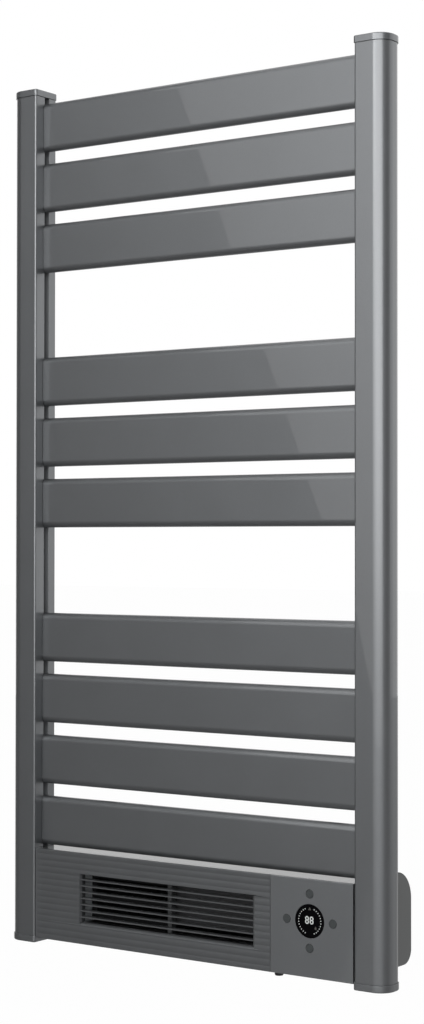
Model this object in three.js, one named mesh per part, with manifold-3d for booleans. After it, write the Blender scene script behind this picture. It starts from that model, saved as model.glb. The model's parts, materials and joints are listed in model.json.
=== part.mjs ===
// Wall-hung towel rail with a built-in fan heater.
// Millimetres, +Z up. The wall is the plane y = 0 and the front faces -Y.
// The origin is the middle of the heater's back face, on the wall.

import * as THREE from "three";
import { mergeVertices } from "three/addons/utils/BufferGeometryUtils.js";
import Module from "manifold-3d";

const wasm = await Module();
wasm.setup();

// ---------------------------------------------------------------- driving dimensions

// Overall
const overallDepth = 123.2;        // wall to the posts' front faces
const innerSpan = 425;           // between the posts' inner faces
const seat = 0.3;                // gap left where one piece rests on another

// Posts: a D section with a channel along its inner side
const postWidth = 37.5;
const postDepth = 36.3;
const postCorner = 16;           // radius of the two outer corners
const postEdge = 2;              // radius of the two inner corners
const postWall = 1.8;
const channelReach = 12.5;       // how far the channel goes into the post
const channelPlay = 0.4;         // between a slat's milled end and each side of the channel
const topMargin = 7.3;           // top slat to the end of the post

// Caps on the posts' ends
const capHeight = 7.8;
const capLip = 1;                // how far a cap stands out over the post
const capRound = 1.4;            // rounding of a cap's outer edge
const spigotDepth = 9;

// Slats: flat hollow bars in three groups
const slatHeight = 56;
const slatThickness = 10.8;
const slatEdge = 5.2;            // rounding of the long edges
const slatWall = 1.5;
const slatGap = 14;              // within a group
const groupGap = 98;             // between groups, for towels
const slatGroups = [3, 3, 4];    // from the top
const slatSetback = 12.8;        // posts' front to the slats' front
const endStep = 3.2;             // milled off the slat's front where it enters a post
const slatEngagement = 10.5;     // how far a slat enters each post

// Heating strips inside the slats
const stripHeight = 38;
const stripThickness = 2.4;
const stripEndMargin = 14;       // slat's end to the strip
const stripTabLength = 16;
const stripTabHeight = 15;

// Screws behind the posts that clamp the slats and the heater
const clampShank = 3.6;
const clampHead = 7.6;
const clampHeadHeight = 2.3;
const clampPlay = 0.3;           // around the shank
const clampInset = 5.4;          // post's inner face to the screw's axis

// Wall brackets behind two of the slats
const bracketInset = 59.5;        // post's inner face to a bracket's axis
const bracketSlats = [2, 9];     // counted from the top
const bracketOffsets = [11, -7]; // bracket's axis above the middle of its slat
const armRadius = 10;
const armFootRadius = 12.5;
const armFootTaper = 34;         // length over which the arm widens to its foot
const saddleLength = 46;
const saddleHeight = 27;
const saddleThickness = 4;
const saddleCorner = 6;
const saddleScrewSpread = 33;
const rosetteRadius = 15.5;
const rosetteThickness = 4;
const stubRadius = 8;
const stubLength = 25;           // wall to the stub's tip
const stubPlay = 0.3;            // between the stub and the arm's bore
const wallScrewHole = 5.4;
const wallScrewSink = 10.4;      // diameter of the countersink
const grubDiameter = 4;
const grubPosition = 14;         // wall to the grub screw's axis

// Heater module
const moduleHeight = 102.2;
const moduleSideGap = 2.4;       // post's inner face to the heater's side
const moduleTopGap = 3;          // lowest slat to the heater's top
const moduleDrop = 2.4;          // heater's bottom below the posts' ends
const panelSetback = 2;          // posts' front to the heater's front
const panelThickness = 3;
const panelSeam = 0.4;           // between the two front panels
const panelEdge = 0.8;           // rounding of the front panels' long edges
const controlWidth = 101.4;
const casingRise = 1.8;          // casing's underside above the front panels' bottom edge
const casingWall = 2.4;
const casingTopRadius = 32;
const casingBottomRadius = 15;
const rimDepth = 9;              // rim of a front panel inside the casing
const rimThickness = 1.8;
const tongueHeight = 72;         // casing's side tongue in the channel of a post
const tongueReach = 9.5;

// Reeds on the front and the vanes of the outlet, on one pitch
const reedPitch = 7;
const reedDepth = 0.45;
const outletMargin = 20.3;       // outlet to the seam between the front panels
const outletInset = 62.1;        // heater's left end to the outlet
const outletSlots = 8;
const outletMiddle = 0.3;        // height of the outlet's middle
const outletTrim = 0.7;          // the end slots are narrower by this
const vaneThickness = 1.8;
const vaneDepth = 8;
const cheekThickness = 1.4;      // the grille's two ends
const grilleFlange = 4;
const grilleFlangeThickness = 1.6;
const stiffenerWidth = 5;
const stiffenerShift = 2;        // right of the outlet's middle
const stiffenerDepth = 7;
const sillChamfer = 2.4;

// Duct, heating element and blower, behind the left part of the outlet
const blownWidth = 117;          // part of the outlet that the air comes from
const ductLength = 17.5;         // behind the grille's flange
const ductWall = 1.6;
const blankDepth = 3;            // grille's stiffener to the plate behind the rest of the outlet
const blankBottom = 10.2;        // slot left open below that plate
const elementDepth = 15;
const elementBar = 6.6;          // height of the element's tubes
const finPitch = 4.4;
const finThickness = 0.6;
const elementEnd = 6;
const cutoutInset = 22;          // element's right end to the cut-out's axis
const cutoutRadius = 7;
const cutoutHeight = 5.5;
const rotorRadius = 25;
const rotorBore = 17;            // radius at the blades' inner edges
const rotorDisc = 2;
const rotorBack = 42;            // wall to the rotor's axis
const rotorLift = 6;             // rotor's axis above the middle of the heater
const bladeCount = 20;
const bladeThickness = 1.2;
const bladeBow = [215, 325];     // degrees of arc that a blade's section covers
const bladeOverlap = 0.8;        // a blade's ends run into the discs
const hubRadius = 6;
const hubLength = 7;
const shaftRadius = 2.5;
const shaftPlay = 0.15;
const scrollGap = 2.2;           // rotor to scroll where they are closest
const scrollGrowth = 4.5;        // extra radius at the scroll's outlet
const scrollWall = 1.6;
const scrollArc = [-62, 112];    // degrees round the rotor, from below it to the outlet's roof
const tongueArc = [226, 206];    // degrees of the tongue below the outlet
const fullTurn = 360;
const endPlateThickness = 2.2;
const endPlateGap = 2;           // rotor's end to the end plate
const hangerWidth = 20;          // tabs that hang the scroll under the casing's roof
const bushLength = 9;
const bushRadius = 8;
const motorRadius = 19;
const motorLength = 30;
const motorFlange = 2.4;

// Intake in the casing's underside, and its filter
const intakeRows = 5;
const intakeColumns = 2;
const intakeSlot = 5;
const intakeBar = 5;
const intakeBack = 18;           // wall to the rearmost slot
const filterThickness = 4;
const filterRim = 5;
const filterPlay = 0.5;
const filterGrip = 3;            // grip outside the casing's side
const filterRibs = 6;
const filterRib = 1.4;

// Control panel
const displayRadius = 17.6;
const displayX = 52.6;           // heater's right end to the display's axis
const displayZ = 7.5;            // display's axis above the middle of the heater
const displayThickness = 2.2;
const displayFlange = 2;
const displayPlay = 0.25;
const keyRadius = 4.5;
const keyRing = 28.2;            // display's axis to a key's axis
const keyPlay = 0.25;
const keyProud = 0.3;            // a key stands out of the panel by this
const keyFlange = 1.5;
const keyFlangeThickness = 1.2;
const keyTravel = 0.8;
const keyStem = 2;
const boardThickness = 1.6;
const boardWidth = 76;
const boardHeight = 74;
const boardStandoff = 8;         // control panel's back to the board
const bossRadius = 3;            // posts on the control panel that carry the board
const switchSize = 6;
const switchHeight = 3.5;

// Electrical parts and entries
const powerBoardLength = 62;
const powerBoardHeight = 70;
const powerBoardInset = 22;      // heater's right end to the board
const powerBoardBack = 18;       // wall to the board's rear edge
const relaySize = [15, 16, 19];  // out from the board, along it, up
const relayPitch = 24;
const transformerSize = [20, 22, 26];
const capacitorSizes = [[5, 17], [4, 12]];   // radius and height
const partsMargin = 8;           // board's lower edge to its parts
const partsGap = 7;
const guideThickness = 1.4;      // ribs on the casing's floor that hold the board
const guideHeight = 5;
const terminalLength = 26;
const terminalDepth = 18;
const terminalHeight = 16;
const grommetX = 105.1;          // heater's right end to the lead's grommet
const grommetSetback = 19.7;     // casing's front edge to the grommet's axis
const grommetRadius = 5.6;
const grommetTip = 4.4;
const grommetBore = 3.3;
const grommetLength = 9.4;        // below the casing
const grommetFlange = 7;
const sensorX = 117.1;           // heater's right end to the sensor's axis
const sensorSetback = 26.7;      // casing's front edge to the sensor's axis
const sensorRadius = 2.3;
const sensorLength = 8.6;

// Screw holes of the front panels
const panelScrewShank = 3;
const panelScrewBack = 4.6;      // casing's front edge to the screws
const panelScrewInset = 22;      // a panel's end to its screws

// ---------------------------------------------------------------- levels worked out from them

const frontY = -overallDepth;
const slatFrontY = frontY + slatSetback;
const slatBackY = slatFrontY + slatThickness;
const slatMidY = (slatFrontY + slatBackY) / 2;
const endFrontY = slatFrontY + endStep;
const channelFront = slatSetback + endStep - channelPlay;
const channelBack = slatSetback + slatThickness + channelPlay;
const postBackY = frontY + postDepth;

const moduleTop = moduleHeight / 2;
const moduleBottom = -moduleHeight / 2;
const moduleRight = innerSpan / 2 - moduleSideGap;
const moduleLeft = -moduleRight;

function slatLevels() {
  const levels = [];
  const count = slatGroups.reduce((sum, n) => sum + n, 0);
  const gaps = (slatGroups.length - 1) * groupGap + (count - slatGroups.length) * slatGap;
  let z = moduleTop + moduleTopGap + count * slatHeight + gaps - slatHeight / 2;
  slatGroups.forEach((size, group) => {
    for (let i = 0; i < size; i += 1) {
      levels.push(z);
      const last = i === size - 1 && group < slatGroups.length - 1;
      z -= slatHeight + (last ? groupGap : slatGap);
    }
  });
  return levels;
}

const slatZ = slatLevels();
const postTop = slatZ[0] + slatHeight / 2 + topMargin;
const postBottom = moduleBottom + moduleDrop;

const panelFrontY = frontY + panelSetback;
const panelBackY = panelFrontY + panelThickness;
const casingFrontY = panelBackY + seat;
const casingBottom = moduleBottom + casingRise;
const floorZ = casingBottom + casingWall;
const panelSplit = moduleRight - controlWidth;

const outletHeight = outletSlots * reedPitch - 2 * outletTrim;
const outletLeft = moduleLeft + outletInset;
const outletRight = panelSplit - outletMargin;
const outletCentre = (outletLeft + outletRight) / 2;
const blownRight = outletLeft + blownWidth;
const blownCentre = (outletLeft + blownRight) / 2;
const outletTop = outletMiddle + outletHeight / 2;
const outletBottom = outletMiddle - outletHeight / 2;
const grilleFlangeY = panelBackY + seat;
const vaneBackY = panelFrontY + vaneDepth;
const ductFrontY = grilleFlangeY + grilleFlangeThickness + seat;
const ductBackY = ductFrontY + ductLength;
const elementFrontY = ductBackY + seat;
const elementBackY = elementFrontY + elementDepth;

const rotorY = -rotorBack;
const rotorZ = rotorLift;
const rotorLength = blownWidth - 2 * (endPlateGap + endPlateThickness) - 2;
const rotorLeft = blownCentre - rotorLength / 2;
const rotorRight = blownCentre + rotorLength / 2;

const displayCentreX = moduleRight - displayX;
const displayCentreZ = displayZ;
const boardFrontY = panelBackY + boardStandoff;

const panelScrewXs = [
  moduleLeft + panelScrewInset, panelSplit - panelScrewInset,
  panelSplit + panelScrewInset, moduleRight - panelScrewInset,
];

// ---------------------------------------------------------------- shape helpers

const X = new THREE.Vector3(1, 0, 0);
const Y = new THREE.Vector3(0, 1, 0);
const Z = new THREE.Vector3(0, 0, 1);
const drawnInYZ = new THREE.Matrix4().makeBasis(Y, Z, X);
const drawnInXZ = new THREE.Matrix4().makeBasis(X, Z, Y.clone().negate());

// Merges shared vertices, drops collapsed triangles and turns the faces outward.
function finish(geometry) {
  const bare = geometry.index ? geometry.toNonIndexed() : geometry.clone();
  bare.deleteAttribute("normal");
  bare.deleteAttribute("uv");
  const merged = mergeVertices(bare, 1e-4);
  const at = merged.attributes.position;
  const a = new THREE.Vector3();
  const b = new THREE.Vector3();
  const c = new THREE.Vector3();
  const kept = [];
  let volume = 0;
  for (let i = 0; i < merged.index.count; i += 3) {
    const [p, q, r] = [0, 1, 2].map((k) => merged.index.getX(i + k));
    if (p === q || q === r || r === p) continue;
    kept.push(p, q, r);
    a.fromBufferAttribute(at, p);
    b.fromBufferAttribute(at, q);
    c.fromBufferAttribute(at, r);
    volume += a.dot(b.cross(c));
  }
  if (volume < 0) kept.reverse();
  merged.setIndex(kept);
  return merged;
}

function toSolid(geometry) {
  const bare = finish(geometry);
  return new wasm.Manifold(new wasm.Mesh({
    numProp: 3,
    vertProperties: new Float32Array(bare.attributes.position.array),
    triVerts: new Uint32Array(bare.index.array),
  }));
}

function fromSolid(solid) {
  const mesh = solid.getMesh();
  const geometry = new THREE.BufferGeometry();
  geometry.setAttribute("position", new THREE.BufferAttribute(mesh.vertProperties, mesh.numProp));
  geometry.setIndex(new THREE.BufferAttribute(mesh.triVerts, 1));
  return geometry;
}

const join = (...pieces) => fromSolid(pieces.map(toSolid).reduce((sum, piece) => sum.add(piece)));

function cut(base, ...tools) {
  return fromSolid(tools.map(toSolid).reduce((rest, tool) => rest.subtract(tool), toSolid(base)));
}

function sweep(shape, from, to, basis, steps) {
  const depth = to - from;
  const geometry = new THREE.ExtrudeGeometry(shape, { depth, bevelEnabled: false, curveSegments: steps });
  geometry.translate(0, 0, from);
  return geometry.applyMatrix4(basis);
}

const alongX = (shape, from, to, steps = 2) => sweep(shape, from, to, drawnInYZ, steps);
const alongY = (shape, from, to, steps = 2) => sweep(shape, -to, -from, drawnInXZ, steps);
const alongZ = (shape, from, to, steps = 2) => sweep(shape, from, to, new THREE.Matrix4(), steps);

function box([x0, x1], [y0, y1], [z0, z1]) {
  const geometry = new THREE.BoxGeometry(x1 - x0, y1 - y0, z1 - z0);
  return geometry.translate((x0 + x1) / 2, (y0 + y1) / 2, (z0 + z1) / 2);
}

function roundedRectangle(shape, width, height, radius, cx = 0, cy = 0) {
  const [l, r, b, t] = [cx - width / 2, cx + width / 2, cy - height / 2, cy + height / 2];
  shape.moveTo(r - radius, b);
  shape.absarc(r - radius, b + radius, radius, -Math.PI / 2, 0);
  shape.absarc(r - radius, t - radius, radius, 0, Math.PI / 2);
  shape.absarc(l + radius, t - radius, radius, Math.PI / 2, Math.PI);
  shape.absarc(l + radius, b + radius, radius, Math.PI, Math.PI * 1.5);
  return shape;
}

function arc(cx, cy, radius, from, to, steps) {
  return Array.from({ length: steps + 1 }, (_, i) => {
    const angle = THREE.MathUtils.degToRad(from + ((to - from) * i) / steps);
    return new THREE.Vector2(cx + radius * Math.cos(angle), cy + radius * Math.sin(angle));
  });
}

const point = (x, y) => new THREE.Vector2(x, y);

// A turned piece: the profile is [radius, height] pairs, and axis says where its height points.
function turned(profile, steps, axis) {
  const geometry = new THREE.LatheGeometry(profile.map(([r, h]) => point(r, h)), steps);
  const turn = new THREE.Quaternion().setFromUnitVectors(Y, axis);
  return geometry.applyQuaternion(turn);
}

function rod(radius, from, to, axis, centre, steps = 12) {
  const piece = turned([[0, from], [radius, from], [radius, to], [0, to]], steps, axis);
  return piece.translate(...centre);
}

// A body through a stack of outlines that all have the same number of points.
function stacked(layers) {
  const count = layers[0].outline.length;
  const points = layers.flatMap(({ outline, z }) => outline.flatMap((p) => [p.x, p.y, z]));
  const faces = [];
  for (let k = 0; k + 1 < layers.length; k += 1) {
    for (let i = 0; i < count; i += 1) {
      const [a, b] = [k * count + i, k * count + ((i + 1) % count)];
      faces.push(a, b, a + count, b, b + count, a + count);
    }
  }
  const last = (layers.length - 1) * count;
  THREE.ShapeUtils.triangulateShape(layers[0].outline, []).forEach(([a, b, c]) => faces.push(c, b, a));
  const top = THREE.ShapeUtils.triangulateShape(layers[layers.length - 1].outline, []);
  top.forEach(([a, b, c]) => faces.push(a + last, b + last, c + last));
  const geometry = new THREE.BufferGeometry();
  geometry.setAttribute("position", new THREE.Float32BufferAttribute(points, 3));
  geometry.setIndex(faces);
  return geometry;
}

// ---------------------------------------------------------------- materials and nodes

const finishes = {
  paint: { color: 0x64676a, roughness: 0.35, metalness: 0.6 },
  moulding: { color: 0x55585a, roughness: 0.5, metalness: 0.1 },
  cap: { color: 0x6c6f72, roughness: 0.4, metalness: 0.2 },
  black: { color: 0x0b0c0d, roughness: 0.15, metalness: 0 },
  darkPlastic: { color: 0x2a2c2e, roughness: 0.6, metalness: 0 },
  steel: { color: 0xa9acae, roughness: 0.35, metalness: 0.9 },
  aluminium: { color: 0xb9bcc0, roughness: 0.4, metalness: 0.9 },
  heater: { color: 0x8a5a3c, roughness: 0.7, metalness: 0.1 },
  board: { color: 0x1f5b39, roughness: 0.6, metalness: 0 },
  rubber: { color: 0x17181a, roughness: 0.8, metalness: 0 },
  mesh: { color: 0x3a3d40, roughness: 0.8, metalness: 0 },
};

const model = new THREE.Group();

function add(name, look, geometry, parent = model) {
  const mesh = new THREE.Mesh(finish(geometry), new THREE.MeshStandardMaterial(finishes[look]));
  mesh.name = name;
  parent.add(mesh);
  return mesh;
}

// ---------------------------------------------------------------- posts and caps

// Outline of the post's D, grown by offset; u runs outward from the inner face, v backward.
function postOutline(side, offset) {
  const edge = postEdge + offset;
  const round = postCorner + offset;
  const near = postEdge;
  const outline = [
    ...arc(near, near, edge, 180, 270, 2),
    ...arc(postWidth - postCorner, postCorner, round, -90, 0, 6),
    ...arc(postWidth - postCorner, postDepth - postCorner, round, 0, 90, 6),
    ...arc(near, postDepth - postEdge, edge, 90, 180, 2),
  ];
  return placeInPlan(outline, side);
}

// Moves an outline from (u, v) to its post; side is -1 for the left post and 1 for the right one.
function placeInPlan(outline, side) {
  const placed = outline.map(({ x, y }) => point(side * (innerSpan / 2 + x), frontY + y));
  return side < 0 ? placed.reverse() : placed;
}

// The hollow round the channel; the lip behind the channel stays solid for the screws.
function chamberOutline(side, inset) {
  const wall = postWall + inset;
  const round = postCorner - wall;
  const inner = channelReach + wall;
  const outline = [
    point(wall, wall),
    ...arc(postWidth - postCorner, postCorner, round, -90, 0, 5),
    ...arc(postWidth - postCorner, postDepth - postCorner, round, 0, 90, 5),
    point(inner, postDepth - wall),
    point(inner, channelFront - wall),
    point(wall, channelFront - wall),
  ];
  return placeInPlan(outline, side);
}

function makePost(side) {
  const channel = placeInPlan([
    point(channelReach, channelFront),
    point(channelReach, channelBack),
    point(-1, channelBack),
    point(-1, channelFront),
  ], side);
  const section = new THREE.Shape(postOutline(side, 0));
  section.holes.push(new THREE.Path(chamberOutline(side, 0)));
  const body = alongZ(section, postBottom, postTop);
  const groove = alongZ(new THREE.Shape(channel), postBottom - 1, postTop + 1);
  const x = side * (innerSpan / 2 + clampInset);
  const radius = clampShank / 2 + clampPlay;
  const holes = [...slatZ, 0].map((z) =>
    rod(radius, frontY + channelBack - 2, postBackY + 2, Y, [x, 0, z], 8));
  return cut(body, groove, ...holes);
}

// The pan-head screw behind the post that clamps the heater's tongue.
function makeHeaterScrew(side) {
  const r = clampShank / 2;
  const under = postBackY + seat / 3;
  const top = under + clampHeadHeight;
  const head = clampHead / 2;
  const profile = [
    [0, slatBackY + seat], [r, slatBackY + seat], [r, under], [head, under], [head * 0.78, top], [0, top],
  ];
  return turned(profile, 12, Y).translate(side * (innerSpan / 2 + clampInset), 0, 0);
}

function makeCap(side, up) {
  const face = up > 0 ? postTop : postBottom;
  const level = (h) => face + up * h;
  const layers = [
    { outline: postOutline(side, capLip), z: level(seat) },
    { outline: postOutline(side, capLip), z: level(capHeight - capRound) },
    { outline: postOutline(side, capLip - capRound * 0.3), z: level(capHeight - capRound * 0.3) },
    { outline: postOutline(side, capLip - capRound), z: level(capHeight) },
  ];
  const spigot = new THREE.Shape(chamberOutline(side, seat));
  const ends = [level(-spigotDepth), level(seat + 1)].sort((a, b) => a - b);
  return join(stacked(layers), alongZ(spigot, ...ends));
}

[["left", -1], ["right", 1]].forEach(([word, side]) => {
  add(`${word}_post`, "paint", makePost(side));
  add(`${word}_top_cap`, "cap", makeCap(side, 1));
  add(`${word}_bottom_cap`, "cap", makeCap(side, -1));
  add(`${word}_heater_screw`, "steel", makeHeaterScrew(side));
});

// ---------------------------------------------------------------- slats and heating strips

const bracketX = [bracketInset - innerSpan / 2, innerSpan / 2 - bracketInset];
const bracketZ = bracketSlats.map((n, i) => slatZ[n - 1] + bracketOffsets[i]);

function makeSlat(index) {
  const z = slatZ[index];
  const section = roundedRectangle(new THREE.Shape(), slatThickness, slatHeight, slatEdge, slatMidY, z);
  const hollow = roundedRectangle(new THREE.Path(), slatThickness - 2 * slatWall,
    slatHeight - 2 * slatWall, slatEdge - slatWall, slatMidY, z);
  section.holes.push(hollow);
  const reach = innerSpan / 2 + slatEngagement;
  const bar = alongX(section, -reach, reach);
  const steps = [-1, 1].map((side) => {
    const ends = [side * (innerSpan / 2 - seat), side * (reach + 1)].sort((a, b) => a - b);
    return box(ends, [slatFrontY - 1, endFrontY], [z - slatHeight, z + slatHeight]);
  });
  const row = bracketSlats.indexOf(index + 1);
  if (row < 0) return cut(bar, ...steps);
  const radius = clampShank / 2 + clampPlay;
  const holes = bracketX.flatMap((x) => [-1, 1].map((end) => {
    const at = x + (end * saddleScrewSpread) / 2;
    return rod(radius, slatBackY - slatWall - 1, slatBackY + 1, Y, [at, 0, bracketZ[row]], 8);
  }));
  return cut(bar, ...steps, ...holes);
}

function makeStrip(index) {
  const end = innerSpan / 2 + slatEngagement - stripEndMargin;
  const neck = end - stripTabLength;
  const [h, t] = [stripHeight / 2, stripTabHeight / 2];
  const z = slatZ[index];
  const shape = new THREE.Shape([
    point(-end, z - h), point(neck, z - h), point(neck, z - t), point(end, z - t),
    point(end, z + t), point(neck, z + t), point(neck, z + h), point(-end, z + h),
  ]);
  const front = slatFrontY + slatWall + seat;
  return alongY(shape, front, front + stripThickness);
}

slatZ.forEach((_, i) => {
  const number = String(i + 1).padStart(2, "0");
  add(`slat_${number}`, "paint", makeSlat(i));
  add(`heating_strip_${number}`, "heater", makeStrip(i));
});

// ---------------------------------------------------------------- wall brackets

const boreRadius = stubRadius + stubPlay;
const saddleY = slatBackY + seat;

function makeArm(x, z) {
  const start = saddleY + saddleThickness - 1;
  const end = -rosetteThickness - seat;
  const boreEnd = -stubLength - 1;
  const arm = turned([
    [0, start], [armRadius, start], [armRadius, end - armFootTaper], [armFootRadius, end],
    [boreRadius, end], [boreRadius, boreEnd], [0, boreEnd],
  ], 16, Y);
  const saddle = alongY(
    roundedRectangle(new THREE.Shape(), saddleLength, saddleHeight, saddleCorner),
    saddleY, saddleY + saddleThickness, 1);
  const radius = clampShank / 2 + clampPlay;
  const holes = [-1, 1].map((side) => rod(radius, saddleY - 1, saddleY + saddleThickness + 1, Y,
    [(side * saddleScrewSpread) / 2, 0, 0], 8));
  const grubHole = rod(grubDiameter / 2 + 0.2, -armFootRadius - 2, 0, Z, [0, -grubPosition, 0], 8);
  return cut(join(arm, saddle), ...holes, grubHole).translate(x, 0, z);
}

function makeRosette(x, z) {
  const hole = wallScrewHole / 2;
  const sink = wallScrewSink / 2;
  const tip = -stubLength;
  const profile = [
    [hole, 0], [rosetteRadius, 0], [rosetteRadius, -rosetteThickness + 1],
    [rosetteRadius - 1, -rosetteThickness], [stubRadius, -rosetteThickness],
    [stubRadius, tip], [sink, tip], [hole, tip + (sink - hole)], [hole, 0],
  ];
  return turned(profile, 16, Y).translate(x, 0, z);
}

bracketZ.forEach((z, row) => bracketX.forEach((x, column) => {
  const word = `${["upper", "lower"][row]}_${["left", "right"][column]}`;
  add(`${word}_bracket_arm`, "paint", makeArm(x, z));
  add(`${word}_wall_rosette`, "paint", makeRosette(x, z));
}));

// ---------------------------------------------------------------- heater casing

// Side view of the casing, inset from its outer skin; front is the y of its open edge.
function casingOutline(inset, front) {
  const [top, bottom, back] = [moduleTop - inset, casingBottom + inset, -inset];
  const upper = casingTopRadius - inset;
  const lower = casingBottomRadius - inset;
  return [
    point(front, bottom),
    ...arc(back - lower, bottom + lower, lower, -90, 0, 5),
    ...arc(back - upper, top - upper, upper, 0, 90, 7),
    point(front, top),
  ];
}

const filterFrontY = -intakeBack - intakeRows * intakeSlot - (intakeRows - 1) * intakeBar - filterRim;
const filterBackY = -intakeBack + filterRim;
const filterBottom = floorZ + filterPlay;
const filterTop = filterBottom + filterThickness;

function intakeTools() {
  const width = (blownWidth - (intakeColumns + 1) * intakeBar) / intakeColumns;
  const tools = [];
  for (let row = 0; row < intakeRows; row += 1) {
    const back = -intakeBack - row * (intakeSlot + intakeBar);
    for (let column = 0; column < intakeColumns; column += 1) {
      const left = outletLeft + intakeBar + column * (width + intakeBar);
      tools.push(box([left, left + width], [back - intakeSlot, back], [casingBottom - 1, floorZ + 1]));
    }
  }
  return tools;
}

function makeCasing() {
  const outer = alongX(new THREE.Shape(casingOutline(0, casingFrontY)), moduleLeft, moduleRight);
  const inner = alongX(new THREE.Shape(casingOutline(casingWall, casingFrontY - 1)),
    moduleLeft + casingWall, moduleRight - casingWall);
  const tongues = [-1, 1].map((side) => {
    const ends = [side * (moduleRight - 1), side * (innerSpan / 2 + tongueReach)].sort((a, b) => a - b);
    return box(ends, [endFrontY, slatBackY], [-tongueHeight / 2, tongueHeight / 2]);
  });
  const drill = (radius, x, y) => rod(radius, casingBottom - 1, floorZ + 1, Z, [x, y, 0], 10);
  const filterSlot = box([moduleLeft - 1, moduleLeft + casingWall + 1],
    [filterFrontY - filterPlay, filterBackY + filterPlay], [floorZ + 0.01, filterTop + filterPlay]);
  const holes = [
    drill(grommetRadius + seat, moduleRight - grommetX, casingFrontY + grommetSetback),
    drill(sensorRadius + seat, moduleRight - sensorX, casingFrontY + sensorSetback),
    ...panelScrewXs.map((x) => drill(panelScrewShank / 2 + seat, x, casingFrontY + panelScrewBack)),
  ];
  const boardX = moduleRight - powerBoardInset;
  const guides = [boardX - seat - guideThickness, boardX + boardThickness + seat].map((x) =>
    box([x, x + guideThickness], [-powerBoardBack - powerBoardLength, -powerBoardBack],
      [floorZ - 1, floorZ + guideHeight]));
  const shell = cut(join(outer, ...tongues), inner, filterSlot, ...holes, ...intakeTools());
  return join(shell, ...guides);
}

add("heater_casing", "moulding", makeCasing());

// ---------------------------------------------------------------- front panels

// A front panel: a plate with the given front line, and two rims that sit inside the casing.
function panelBody(frontLine, [x0, x1], [rim0, rim1]) {
  const rimTop = moduleTop - casingWall - seat;
  const rimBottom = floorZ + seat;
  const depth = [panelBackY - 1, panelBackY + rimDepth];
  const plate = new THREE.Shape([...frontLine, point(panelBackY, moduleTop), point(panelBackY, moduleBottom)]);
  return join(alongX(plate, x0, x1),
    box([rim0, rim1], depth, [rimTop - rimThickness, rimTop]),
    box([rim0, rim1], depth, [rimBottom, rimBottom + rimThickness]));
}

const lowerEdge = () => arc(panelFrontY + panelEdge, moduleBottom + panelEdge, panelEdge, 270, 180, 2);
const upperEdge = () => arc(panelFrontY + panelEdge, moduleTop - panelEdge, panelEdge, 180, 90, 2);

// Convex reeds: a groove at each slot's middle and a crest in line with each vane.
function reededLine() {
  const line = [];
  const steps = 4;
  const first = outletMiddle - reedPitch * 6.5;
  for (let i = 0; first + i * reedPitch < moduleTop - panelEdge; i += 1) {
    const groove = first + i * reedPitch;
    for (let k = 0; k < steps; k += 1) {
      const z = groove + (k / steps) * reedPitch;
      if (z > moduleTop - 2 * panelEdge) break;
      const away = 1 - Math.sin((Math.PI * k) / steps);
      line.push(point(panelFrontY + reedDepth * away, z));
    }
  }
  return line;
}

function rimHoles(xs) {
  return xs.map((x) => rod(panelScrewShank / 2 + 0.1, floorZ - 1, floorZ + seat + rimThickness + 1, Z,
    [x, casingFrontY + panelScrewBack, 0], 8));
}

function makeFrontPanel() {
  const right = panelSplit - panelSeam / 2;
  const body = panelBody([...lowerEdge(), ...reededLine(), ...upperEdge()], [moduleLeft, right],
    [moduleLeft + casingWall + seat, right]);
  const sill = outletBottom - sillChamfer;
  const opening = alongX(new THREE.Shape([
    point(panelFrontY - 1, outletTop),
    point(panelFrontY - 1, sill - 1),
    point(panelFrontY + sillChamfer, outletBottom),
    point(panelBackY + 1, outletBottom),
    point(panelBackY + 1, outletTop),
  ]), outletLeft, outletRight);
  const xs = panelScrewXs.filter((x) => x < panelSplit);
  return cut(body, opening, ...rimHoles(xs));
}

const keyPlaces = [
  ["power", 0, 1], ["mode", 0, -1], ["minus", -1, 0], ["plus", 1, 0],
].map(([word, dx, dz]) => [word, displayCentreX + dx * keyRing, displayCentreZ + dz * keyRing]);

function makeControlPanel() {
  const left = panelSplit + panelSeam / 2;
  const body = panelBody([...lowerEdge(), ...upperEdge()], [left, moduleRight],
    [left, moduleRight - casingWall - seat]);
  const through = [panelFrontY - 1, panelBackY + 1];
  const window = rod(displayRadius + displayPlay, ...through, Y, [displayCentreX, 0, displayCentreZ], 32);
  const holes = keyPlaces.map(([, x, z]) => rod(keyRadius + keyPlay, ...through, Y, [x, 0, z], 16));
  const xs = panelScrewXs.filter((x) => x > panelSplit);
  const [bx, bz] = [boardWidth / 2 - bossRadius, boardHeight / 2 - bossRadius];
  const bosses = [[-bx, -bz], [bx, -bz], [-bx, bz], [bx, bz]].map(([dx, dz]) =>
    rod(bossRadius, panelBackY - 1, boardFrontY - seat, Y, [displayCentreX + dx, 0, displayCentreZ + dz], 10));
  return join(cut(body, window, ...holes, ...rimHoles(xs)), ...bosses);
}

add("front_panel", "moulding", makeFrontPanel());
add("control_panel", "moulding", makeControlPanel());

// ---------------------------------------------------------------- outlet grille and duct

const vaneLevels = Array.from({ length: outletSlots - 1 },
  (_, i) => outletMiddle + (i - (outletSlots - 2) / 2) * reedPitch);

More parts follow.
